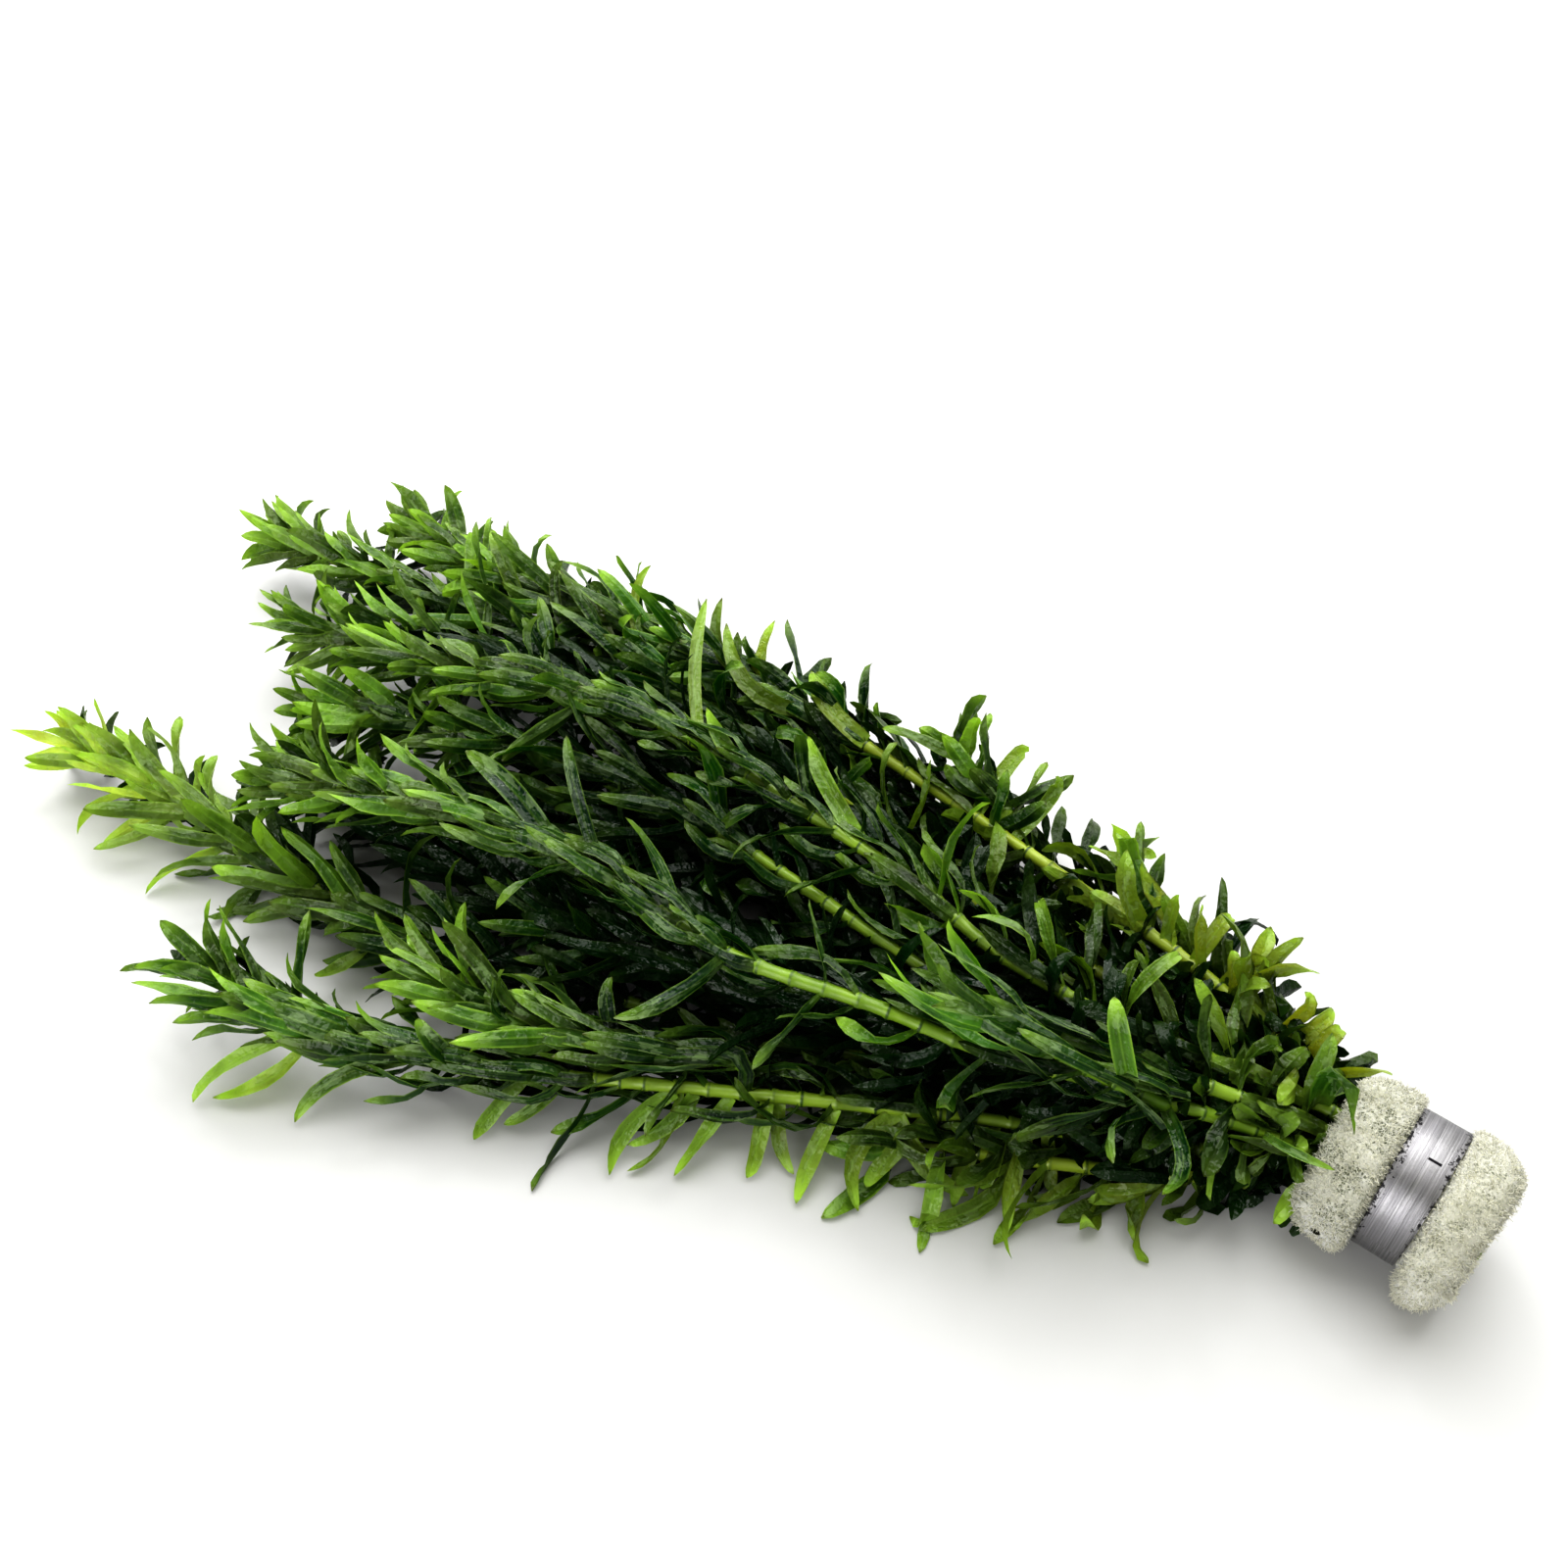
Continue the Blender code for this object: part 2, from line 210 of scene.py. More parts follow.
def addLight(name, size, power, place):
    data = bpy.data.lights.new(name, "AREA")
    data.shape = "DISK"
    data.size = size
    data.energy = power
    lamp = bpy.data.objects.new(name, data)
    lamp.location = place
    lamp.rotation_euler = (-Vector(place)).to_track_quat("-Z", "Y").to_euler()
    bpy.context.scene.collection.objects.link(lamp)


def roomWorld():
    world = bpy.data.worlds.new("brightRoom")
    world.use_nodes = True
    world.node_tree.nodes.clear()
    heading = addNode(world, "TexCoord").outputs["Generated"]
    height = addNode(world, "SeparateXYZ", {"Vector": heading})
    room = addNode(world, "ValToRGB", {"Fac": height.outputs["Z"]})
    brightest = light["room"][-1][1]
    setRamp(room, [(place, (*(level / brightest * part for part in light["tint"]), 1))
                   for place, level in light["room"]])
    dark = light["dark"]
    front = addNode(world, "VectorMath", {0: heading, 1: dark["towards"]}, operation="DOT_PRODUCT")
    dim = addNode(world, "MapRange", {
        "Value": front.outputs["Value"],
        "From Min": dark["far"],
        "From Max": dark["near"],
        "To Min": brightest,
        "To Max": brightest * (1 - dark["depth"]),
    })
    back = addNode(world, "Background", {
        "Color": room.outputs["Color"], "Strength": dim.outputs["Result"]})
    addNode(world, "OutputWorld", {"Surface": back.outputs["Background"]})
    return world


def tableMaterial():
    paint = newMaterial("whiteTable")
    speckle = addNode(paint, "TexNoise", {"Scale": table["grain"], "Detail": 2.0})
    first, second = table["shades"]
    tone = addNode(paint, "Mix", {
        "Factor": speckle.outputs["Fac"], "A": first, "B": second}, data_type="RGBA")
    shader = addNode(paint, "BsdfPrincipled", {
        "Base Color": tone.outputs["Result"],
        "Roughness": table["roughness"],
        "Specular IOR Level": table["shine"],
    })
    return finishMaterial(paint, shader.outputs["BSDF"])


def setStage():
    bpy.ops.object.select_all(action="DESELECT")
    bpy.ops.mesh.primitive_plane_add(size=table["size"], location=(0, 0, 0))
    floor = bpy.context.object
    floor.name = "floor"
    floor.data.transform(Matrix.Translation((0, 0, -table["below"])))
    floor.data.materials.append(tableMaterial())
    bpy.context.scene.world = roomWorld()
    for name, lamp in light["lamps"].items():
        addLight(name + "Light", **lamp)
    settings = bpy.context.scene.view_settings
    settings.view_transform = "Standard"
    settings.look = "High Contrast"


setCamera()
setStage()
print("camera and stage set")

# Each stem: its place in the collar, then the points it runs through to its growing tip, in mm.
# tight: how closely the leaves cling. pale: how bright the tip is. old: how aged the lower leaves
# are. bare: how far up the stem shows along its top. full: how many leaves it has. under and dim:
# how much painted shade it takes for lying deep in the bunch, along it and at its tip. long and
# slim: the size of its leaves.
# stages: which part of a whole stem a side shoot looks like
outerRing = 4.9
innerRing = 1.9
plainStem = dict(place=None, bare=0, full=1, under=0, dim=0, long=1, slim=1, stages=(0.6, 1))
stemPlans = {
    "stem_01": dict(place=(265, outerRing), tight=0.25, pale=1.3, old=0.3, bare=0.1, full=1.05,
        run=((-28, -2, 7), (-58, -11, 8), (-90, -19, 8), (-130, -26, 8), (-160, -29, 8),
             (-190, -26, 8), (-225, -22, 9), (-256, -20, 10))),
    "stem_02": dict(place=(165, outerRing), tight=0.95, pale=0.3, old=0.2, bare=0.5, full=0.95,
        run=((-27, -10, 21), (-40, -14, 24), (-52, -18, 27), (-69, -20, 30), (-95, -22, 31),
             (-131, -14, 29), (-167, -15, 26), (-197, -23, 25))),
    "stem_03": dict(place=(75, outerRing), tight=0.9, pale=0.3, old=0.3, bare=0.46,
        run=((-27, 0, 22), (-38, -2, 25), (-58, 0, 28), (-73, 5, 30), (-104, 13, 31),
             (-139, 21, 30), (-174, 19, 27), (-203, 14, 24))),
    "stem_04": dict(place=(350, outerRing), tight=0.45, pale=0.4, old=0.9, bare=0.3, full=1.1,
        slim=1.12, under=-0.15,
        run=((-30, 12, 14), (-66, 20, 13), (-103, 34, 14), (-136, 43, 14), (-167, 47, 13),
             (-209, 49, 12), (-262, 52, 12))),
    "stem_05": dict(place=(30, outerRing), tight=0.4, pale=0.35, old=1.1, bare=0.45, full=1.15,
        slim=1.12, under=-0.35,
        run=((-27, 19, 18), (-55, 29, 18), (-82, 38, 18), (-120, 49, 18), (-162, 56, 16),
             (-201, 61, 14), (-237, 71, 13))),
    "stem_06": dict(place=(118, outerRing), tight=0.45, pale=0.15, old=0.3, bare=0.5, full=1.2,
        under=0.4,
        run=((-28, -6, 23), (-63, -6, 24), (-96, 2, 24), (-134, 13, 20), (-177, 11, 17),
             (-213, 3, 15))),
    "stem_07": dict(place=(222, outerRing), tight=0.95, pale=0.08, old=0.4, bare=0.62,
        run=((-30, -11, 8), (-51, -18, 9), (-96, -35, 10), (-123, -45, 10), (-154, -54, 12),
             (-189, -55, 18))),
    "stem_08": dict(place=(35, innerRing), tight=0.35, pale=0.35, old=0.3, bare=0.2, full=1.25,
        under=0.25,
        run=((-30, 5, 17), (-73, 13, 17), (-108, 24, 18), (-144, 31, 17), (-182, 34, 16),
             (-236, 25, 13))),
    "stem_09": dict(place=(155, innerRing), tight=0.3, pale=0, old=0.3, full=1.3, under=0.75,
        dim=0.7,
        run=((-28, -4, 15), (-71, -13, 16), (-106, -17, 17), (-140, -23, 17))),
    "stem_10": dict(place=(275, innerRing), tight=0.1, pale=0.5, old=0.2, full=1.3, under=0.5,
        dim=0.2,
        run=((-28, 2, 11), (-70, -1, 8), (-110, -8, 8), (-147, -13, 8), (-183, -7, 9),
             (-208, -2, 13))),
    "stem_11": dict(place=(308, outerRing), tight=0.2, pale=0.3, old=0.5, full=1.4, under=0.25,
        run=((-28, 12, 8), (-70, 26, 7), (-110, 40, 7), (-150, 51, 7), (-182, 60, 7))),
    "side_shoot_1": dict(parent="stem_07", tight=0.9, pale=0.3, old=0,
        run=((-88, -29, 13), (-105, -35, 14), (-121, -38, 15), (-153, -39, 16))),
    "side_shoot_2": dict(parent="stem_02", tight=1, pale=0.05, old=0, stages=(0.5, 0.86),
        long=1.1, slim=0.85,
        run=((-26, -14, 26), (-42, -17, 32), (-61, -17, 36))),
    "side_shoot_3": dict(parent="stem_05", tight=0.3, pale=0.3, old=0.3, full=0.8, long=0.68,
        slim=1.1,
        run=((-69, 37, 20), (-79, 43, 22), (-90, 53, 26))),
    "side_shoot_4": dict(parent="stem_05", tight=0.2, pale=0.5, old=0.6, full=0.7, long=0.6,
        slim=1.15,
        run=((-41, 28, 20), (-44, 32, 21), (-48, 39, 22))),
}
# Thin branches that lie tangled under the long stems, each on its own stretch of another stem
plainTangle = dict(tight=0.1, pale=0, old=0.4, under=0.75, dim=0.7)
tanglePlans = {
    "tangle_1": dict(parent="stem_06", stages=(0.3, 0.9),
        run=((-84, 0, 14), (-110, 9, 12), (-136, 9, 11), (-156, 8, 11), (-174, 4, 12))),
    "tangle_2": dict(parent="stem_09", stages=(0.3, 0.9),
        run=((-91, -10, 12), (-115, -4, 10), (-138, 0, 8), (-158, 0, 8), (-173, -4, 9))),
    "tangle_3": dict(parent="stem_06", stages=(0.2, 0.8),
        run=((-72, 8, 14), (-96, 14, 10), (-121, 22, 9), (-147, 24, 9))),
    "tangle_4": dict(parent="stem_04", stages=(0.2, 0.8),
        run=((-52, 21, 10), (-75, 32, 9), (-100, 42, 9), (-125, 49, 9))),
    "tangle_5": dict(parent="stem_05", stages=(0, 0.35), under=0.2, old=1,
        run=((-12, 9, 20), (-19, 17, 16), (-29, 25, 13), (-41, 31, 12))),
    "tangle_6": dict(parent="stem_07", stages=(0, 0.4), under=0.1, old=0.8,
        run=((-12, -6, 8), (-19, -11, 6), (-36, -17, 5), (-54, -23, 5), (-71, -28, 5))),
    "tangle_7": dict(parent="stem_01", stages=(0.1, 0.6), under=0.45,
        run=((-34, -8, 10), (-55, -9, 9), (-75, -11, 9), (-96, -15, 9))),
    "tangle_8": dict(parent="stem_08", stages=(0, 0.4),
        run=((-19, 5, 13), (-34, 11, 12), (-51, 17, 12))),
    "tangle_9": dict(parent="stem_05", stages=(0.05, 0.5),
        run=((-33, 19, 13), (-46, 27, 10), (-62, 33, 9), (-80, 42, 9), (-97, 49, 9))),
}
stemPlans = {name: {**plainStem, **plan} for name, plan in stemPlans.items()}
stemPlans.update({name: {**plainStem, **plainTangle, **plan} for name, plan in tanglePlans.items()})
# a stem stops this far short of its drawn tip, and its last leaves reach the rest of the way
tipRoom = {"most": 10.0, "share": 0.3}


def collarPoint(middle, along, radius, angle):
    across = collarSide * math.cos(angle) + collarUp * math.sin(angle)
    return middle + collarAlong * along + across * radius


def smoothCurve(corners, pieces=24):
    # the same smooth run through the corners as the frame's stems take
    ends = [2 * corners[0] - corners[1], *corners, 2 * corners[-1] - corners[-2]]
    curve = []
    for index in range(1, len(ends) - 2):
        a, b, c, d = ends[index - 1:index + 3]
        t1 = (b - a).length ** 0.5
        t2 = t1 + (c - b).length ** 0.5
        t3 = t2 + (d - c).length ** 0.5
        for piece in range(pieces):
            t = t1 + (t2 - t1) * piece / pieces
            ab = a.lerp(b, t / t1)
            bc = b.lerp(c, (t - t1) / (t2 - t1))
            cd = c.lerp(d, (t - t2) / (t3 - t2))
            abc = ab.lerp(bc, t / t2)
            bcd = bc.lerp(cd, (t - t1) / (t3 - t1))
            curve.append(abc.lerp(bcd, (t - t1) / (t2 - t1)))
    curve.append(corners[-1])
    return curve


def parentPoint(parent, start):
    # the point of the parent stem's middle that lies nearest to a shoot's first point
    points = routes[parent]["points"] - np.array(bunchShift)
    return Vector(points[np.linalg.norm(points - np.array(start), axis=1).argmin()])


def makeRoute(plan):
    corners = [Vector(corner) for corner in plan["run"]]
    if plan["place"]:
        angle, radius = math.radians(plan["place"][0]), plan["place"][1]
        corners = [collarPoint(collar["centre"], place, radius, angle)
                   for place in (collar["cutEnd"], 0, collar["mouth"])] + corners
    else:
        corners = [parentPoint(plan["parent"], corners[0])] + corners
    points = np.array(smoothCurve(corners)) + np.array(bunchShift)
    steps = np.linalg.norm(np.diff(points, axis=0), axis=1)
    lengths = np.concatenate([[0], np.cumsum(steps)])
    tangents = np.gradient(points, axis=0)
    tangents /= np.linalg.norm(tangents, axis=1, keepdims=True)
    sides = np.zeros_like(points)
    side = np.cross(tangents[0], (0, 0, 1))
    for index, tangent in enumerate(tangents):
        side = side - tangent * side.dot(tangent)
        side /= np.linalg.norm(side)
        sides[index] = side
    grown = lengths[-1] - min(tipRoom["most"], tipRoom["share"] * lengths[-1])
    return dict(points=points, tangents=tangents, sides=sides,
                lengths=lengths, length=lengths[-1], grown=grown)


def along(route, distances):
    # the stem's middle, its heading and its side at these distances from its cut end
    found = []
    for name in ("points", "tangents", "sides"):
        columns = [np.interp(distances, route["lengths"], column) for column in route[name].T]
        found.append(np.stack(columns, axis=-1))
    point, tangent, side = found
    tangent /= np.linalg.norm(tangent, axis=-1, keepdims=True)
    side = squareTo(side, tangent)
    side /= np.linalg.norm(side, axis=-1, keepdims=True)
    return point, tangent, side


def unit(vectors):
    return vectors / np.maximum(np.linalg.norm(vectors, axis=-1, keepdims=True), 1e-9)


def squareTo(vectors, axes):
    # what is left of each vector square to its axis
    return vectors - axes * (vectors * axes).sum(-1, keepdims=True)


def spun(vectors, axes, angles):
    # each vector turned about its own axis
    cosine = np.cos(angles)[..., None]
    sine = np.sin(angles)[..., None]
    dots = (vectors * axes).sum(-1, keepdims=True)
    return vectors * cosine + np.cross(axes, vectors) * sine + axes * dots * (1 - cosine)


routes = {}
for name, plan in stemPlans.items():
    routes[name] = makeRoute(plan)
# a point for every mm of every stem, to find what lies near a leaf
stemTree = KDTree(sum(int(route["length"]) + 1 for route in routes.values()))
stemPoints = []
for number, route in enumerate(routes.values()):
    for point in along(route, np.arange(0, route["length"], 1.0))[0]:
        stemTree.insert(point, len(stemPoints))
        stemPoints.append((number, point))
stemTree.balance()
print("stem routes laid")

# The blade: 1 long and 1 wide, modelled flat, then laid along every leaf's own curve. lance is the
# outline of a young leaf, and ruffle is how the two edges wave, each in its own time
blade = {
    "sides": 4,
    "rows": (0.07, 0.2, 0.36, 0.52, 0.68, 0.82, 0.93),
    "widths": (0.8, 0.9, 0.96, 1.0, 1.02, 1.0, 0.88, 0.6),
    "tipWidth": 0.1,
    "thickness": 0.07,
    "thinning": (1.2, 0.6),  # thicker than that at the base, and by how much less at the tip
    "lance": (0.96, 0.97, 1.0, 1.0, 0.97, 0.89, 0.76, 0.62, 0.4),
    "lanceFrom": 0.45,  # the place on the stem where leaves begin to taper more
    "lanceOver": 0.4,
    "lanceLuck": (0.6, 0.4),
    "cup": 0.42,  # how much the edges stand up
    "ruffle": {"height": 0.26, "luck": 40, "side": 1.9, "waves": 9.5},
    "table": (0.12, 0.2),  # the least height in mm, and what the upper face has more
}


def modelBlade():
    bpy.ops.object.select_all(action="DESELECT")
    bpy.ops.mesh.primitive_cylinder_add(
        vertices=blade["sides"], radius=0.5, depth=1, location=(0, 0, 0.5))
    item = bpy.context.object
    bpy.ops.object.transform_apply(location=True)
    bpy.ops.object.mode_set(mode="EDIT")
    for row in blade["rows"]:
        bpy.ops.mesh.select_all(action="SELECT")
        bpy.ops.mesh.bisect(plane_co=(0, 0, row), plane_no=(0, 0, 1))
    bpy.ops.object.mode_set(mode="OBJECT")
    levels = (0.0, *blade["rows"], 1.0)
    widths = (*blade["widths"], blade["tipWidth"])
    thick, thinner = blade["thinning"]
    for level, width in zip(levels, widths):
        for vertex in item.data.vertices:
            vertex.select = abs(vertex.co.z - level) < 1e-4
        for part in (*item.data.edges, *item.data.polygons):
            part.select = False
        bpy.ops.object.mode_set(mode="EDIT")
        bpy.ops.transform.resize(
            value=(width, width * blade["thickness"] * (thick - thinner * level), 1),
            center_override=(0, 0, level))
        bpy.ops.object.mode_set(mode="OBJECT")
    points = np.array([vertex.co for vertex in item.data.vertices])
    faces = [tuple(face.vertices) for face in item.data.polygons]
    bpy.data.objects.remove(item)
    return points, faces


bladePoints, bladeFaces = modelBlade()
print("blade modelled", len(bladePoints), "points", len(bladeFaces), "faces")

# How leaves stand from the collar (0) to the tip (1): degrees, mm, leaves in a whorl and shares
leafStages = {
    "place":     (0.00, 0.06, 0.14, 0.35, 0.55, 0.70, 0.85, 0.95, 1.00),
    "spread":    (70, 68, 64, 60, 57, 54, 52, 48, 28),
    "bend":      (0, -6, -12, -16, -14, -12, -18, -26, -24),
    "bendSpan":  (95, 90, 78, 64, 54, 46, 40, 32, 18),
    "twist":     (150, 140, 125, 105, 82, 66, 58, 50, 30),
    "length":    (11, 12, 15, 18, 19.5, 19.5, 17.5, 16, 13),
    "width":     (3.3, 3.2, 3.0, 2.9, 3.0, 3.2, 3.35, 3.3, 2.8),
    "internode": (3.6, 4.0, 5.0, 5.6, 4.7, 4.2, 3.8, 3.2, 2.2),
    "count":     (6, 6, 6, 6, 6, 5.6, 4.8, 4.2, 4.2),
    "cling":     (0.0, 0.0, 0.1, 0.4, 0.75, 0.78, 0.56, 0.42, 0.2),
}
# How far one leaf or whorl differs from the next: ranges, and spreads where there is one number
leafLuck = {
    "seed": 11,
    "firstWhorl": (0, 3),
    "whorlTurn": 0.06,
    "whorlSpread": 0.08,
    "count": (-0.4, 0.4),
    "turn": 0.22,
    "loose": (0, 0.35),
    "held": (0.6, 1),
    "base": 0.15,
    "spread": (0.6, 1.4),
    "length": (0.7, 1.2),
    "width": (0.75, 1.15),
    "internode": (0.85, 1.15),
    "aside": (0.7, 1.4),
}
# Which leaves grow. On the long bare stretches they are twisted round the stem like a rope
leafPlan = {
    "firstWhorl": -1.0,  # mm from the sponge's mouth
    "lastWhorl": 0.3,  # mm from the tip
    "rope": ((0.3, 0.45, 0.65, 0.85), (0, 1, 1, 0)),  # places on the stem, and how much of a rope
    "ropeFewer": 0.3,
    "ropeSlimmer": 0.15,
    "ropeDuller": 0.6,
    "loose": (0.15, 0.65),  # the share of loose leaves, and what an untwisted stem has more
    "ringInner": 1.6,  # clinging leaves lie this far from the stem's middle, or farther
    "ringOuter": ((0.5, 0.95), (2.2, 6.0)),
    "openSide": (0.2, -0.5, 0.84),  # up, and towards the camera
    "bareFrom": 0.3,  # how far to the open side a leaf grows that may be gone
    "bareGone": 0.46,
    "bareLying": 0.58,
    "lyingCling": 0.95,
    "lostBelow": 0.5,
    "lost": (0.04, 0.08),  # the share of lost leaves, and what an old stem has more
}
# How a leaf is laid, step by step: mm, degrees and shares of its length
leafLay = {
    "steps": 14,
    "stemRadius": 1.1,
    "rooted": 0.75,  # its base lies this far out in the stem
    "closing": 0.45,  # how much closer to the stem a clinging leaf starts
    "droop": (0.1, 0.5, 1.1),  # the least, what luck adds, and the place where it would end
    "tipTurn": 26,
    "tipLuck": (0.35, 0.7),
    "tipLoose": 0.4,  # the share of that turn which a loose leaf has
    "tipFrom": 0.65,
    "holdFrom": (0.04, 0.25),  # where it begins to cling, and over what stretch
    "holdTo": (0.72, 0.3),  # where it lets go, and how much later on a tight stem
    "holdPlace": (0.9, 0.3),
    "holdFade": 0.3,
    "holdPast": 4,
    "pull": 0.55,
    "sheath": 1.05,  # clinging leaves run along the stem a little faster than they grow
    "seatAhead": 3.0,
    "stemKeep": 2.3,  # leaves keep this far from the middle of every stem
    "keepFrom": 0.12,
    "ownKeepFrom": 0.3,
    "push": 0.25,
    "nearest": 0.2,
    "floor": 0.35,  # no leaf goes lower than this
    "floorRise": 0.9,
    "floorReach": 2.0,
    "floorFlat": 0.5,
    "heldTwist": 0.8,
}


def stage(name, place):
    # a number of the leaves at this place on the stem
    return np.interp(place, leafStages["place"], leafStages[name])


def planLeaf(plan, place, rope, turn, spread, tangent, side, chance):
    # one leaf's own numbers, or nothing where the leaf is gone
    turn += chance.normal(0, leafLuck["turn"])
    outward = spun(side, tangent, np.array(turn))
    loose = leafPlan["loose"][0] + leafPlan["loose"][1] * (1 - plan["tight"])
    kind = "loose" if chance.uniform() < loose else "held"
    cling = stage("cling", place) * chance.uniform(*leafLuck[kind])
    inner = leafPlan["ringInner"]
    ring = inner + chance.uniform() * (np.interp(place, *leafPlan["ringOuter"]) - inner)
    if place < plan["bare"] and outward.dot(leafPlan["openSide"]) > leafPlan["bareFrom"]:
        # along the open side of a bare stretch a leaf is gone, lies on the stem or over sideways
        fate = chance.uniform()
        if fate < leafPlan["bareGone"]:
            return None
        if fate < leafPlan["bareLying"]:
            cling, ring = leafPlan["lyingCling"], inner
        else:
            binormal = np.cross(tangent, outward)
            away = -1 if binormal.dot(leafPlan["openSide"]) > 0 else 1
            turn += away * chance.uniform(*leafLuck["aside"])
    elif place < leafPlan["lostBelow"]:
        if chance.uniform() < leafPlan["lost"][0] + leafPlan["lost"][1] * plan["old"]:
            return None
    wide = 1 - leafPlan["ropeSlimmer"] * rope
    return {
        "base": chance.normal(0, leafLuck["base"]),
        "turn": turn,
        "spread": stage("spread", place) * spread * chance.uniform(*leafLuck["spread"]),
        "bend": stage("bend", place) + stage("bendSpan", place) * chance.normal(),
        "length": stage("length", place) * chance.uniform(*leafLuck["length"]) * plan["long"],
        "width": stage("width", place) * chance.uniform(*leafLuck["width"]) * wide * plan["slim"],
        "twist": stage("twist", place) * chance.normal(),
        "cling": cling,
        "ring": ring,
        "place": place,
        "luck": chance.uniform() * (1 - leafPlan["ropeDuller"] * rope),
    }


def planLeaves(plan, route, chance):
    # every leaf's own numbers, one entry a leaf, and where on the stem the whorls grow
    inside = collar["cutEnd"] - collar["mouth"] if plan["place"] else 0
    distance = inside + leafPlan["firstWhorl"] + chance.uniform(*leafLuck["firstWhorl"])
    clear = route["grown"] - inside
    twist = chance.uniform(0, math.tau)
    leaves = []
    nodes = []
    while distance < route["grown"] - leafPlan["lastWhorl"]:
        place = (distance - inside) / clear
        if not plan["place"]:
            low, high = plan["stages"]
            place = low + (high - low) * place
        nodes.append(distance)
        twist += math.pi / stage("count", place) + chance.normal(0, leafLuck["whorlTurn"])
        rope = plan["tight"] * np.interp(place, *leafPlan["rope"])
        fewer = 1 - leafPlan["ropeFewer"] * rope
        count = int(round(
            stage("count", place) * plan["full"] * fewer + chance.uniform(*leafLuck["count"])))
        spread = chance.normal(1, leafLuck["whorlSpread"])
        _, tangent, side = along(route, distance)
        for leaf in range(count):
            turn = twist + math.tau * leaf / count
            planned = planLeaf(plan, place, rope, turn, spread, tangent, side, chance)
            if planned:
                planned["base"] += distance
                leaves.append(planned)
        distance += stage("internode", place) * chance.uniform(*leafLuck["internode"])
    numbers = {key: np.array([leaf[key] for leaf in leaves]) for key in leaves[0]}
    return numbers, np.array(nodes)


def pushClear(number, here, direction, reach, share):
    # turns each leaf away from the stems that its next step would run into
    for leaf in range(len(here)):
        spot = here[leaf] + direction[leaf] * reach[leaf]
        for _, index, gap in stemTree.find_range(spot, leafLay["stemKeep"]):
            owner, centre = stemPoints[index]
            if owner == number and share < leafLay["ownKeepFrom"]:
                continue
            push = (spot - centre) / max(gap, leafLay["nearest"])
            direction[leaf] += push * (leafLay["stemKeep"] - gap) * leafLay["push"]


def layLeaves(number, plan, route, leaves, chance):
    # the spine of every leaf, step by step from its base to its tip
    base, turn, length = leaves["base"], leaves["turn"], leaves["length"]
    cling, place, ring = leaves["cling"], leaves["place"], leaves["ring"]
    point, tangent, side = along(route, base)
    outward = spun(side, tangent, turn)
    across = np.cross(tangent, outward)
    lean = np.radians(leaves["spread"] * (1 - leafLay["closing"] * cling))
    direction = tangent * np.cos(lean)[:, None] + outward * np.sin(lean)[:, None]
    steps = leafLay["steps"]
    reach = (length / steps)[:, None]
    spine = [point + outward * leafLay["stemRadius"] * leafLay["rooted"]]
    acrosses = [across]
    directions = [direction]
    least, more, fading = leafLay["droop"]
    droop = (least + more * chance.uniform(0, 1, len(base))) * (1 - cling) * (fading - place)
    tipTurn = np.radians(leafLay["tipTurn"]) * chance.normal(
        *leafLay["tipLuck"], len(base)) * (leafLay["tipLoose"] + cling)
    holdStart, holdOver = leafLay["holdFrom"]
    holdEnd, holdMore = leafLay["holdTo"]
    holdTop, holdUnder = leafLay["holdPlace"]
    held = holdEnd + holdMore * plan["tight"] * np.clip((holdTop - place) / holdUnder, 0, 1)
    for step in range(steps):
        share = (step + 0.5) / steps
        here = spine[-1]
        late = max(share - leafLay["tipFrom"], 0)
        turning = -np.radians(leaves["bend"]) * 2 * share + tipTurn * 4 * late
        direction = spun(direction, across, turning / steps)
        direction[:, 2] -= droop / steps * share * 2
        # clinging leaves lie along the stem in a sheath around it
        further = min(share * leafLay["sheath"], 1)
        ahead, aheadTangent, aheadSide = along(route, base + length * further)
        seat = ahead + spun(aheadSide, aheadTangent, turn) * ring[:, None]
        past = np.clip((base + length * share - route["length"]) / leafLay["holdPast"], 0, 1)
        taken = np.clip((share - holdStart) / holdOver, 0, 1)
        left = np.clip((held - share) / leafLay["holdFade"], 0, 1)
        pull = cling * taken * left * (1 - past)
        pull = (leafLay["pull"] * pull)[:, None]
        toSeat = unit(seat + aheadTangent * leafLay["seatAhead"] - here)
        direction = unit(direction * (1 - pull) + toSeat * pull)
        if share > leafLay["keepFrom"]:
            pushClear(number, here, direction, reach, share)
        direction = unit(direction)
        # on the table a leaf lies flat
        low = (leafLay["floor"] - here[:, 2]) / reach[:, 0]
        direction[:, 2] = np.maximum(direction[:, 2], np.minimum(low, leafLay["floorRise"]))
        direction = unit(direction)
        across = unit(squareTo(across, direction))
        twist = leaves["twist"] * (1 - leafLay["heldTwist"] * cling)
        across = spun(across, direction, np.radians(twist) / steps)
        high = (here[:, 2] - leafLay["floor"]) / leafLay["floorReach"]
        across[:, 2] *= 1 - np.clip(1 - high, 0, 1) * leafLay["floorFlat"]
        across = unit(squareTo(across, direction))
        spine.append(here + direction * reach)
        acrosses.append(across)
        directions.append(direction)
    return np.stack(spine, 1), np.stack(acrosses, 1), np.stack(directions, 1)


# How deep a leaf lies, which sets its painted shade: the stems over its middle, looked for
# upwards, up to a full count
cover = {"ahead": 6, "reach": 15, "least": 1.5, "slope": 0.35, "full": 24}


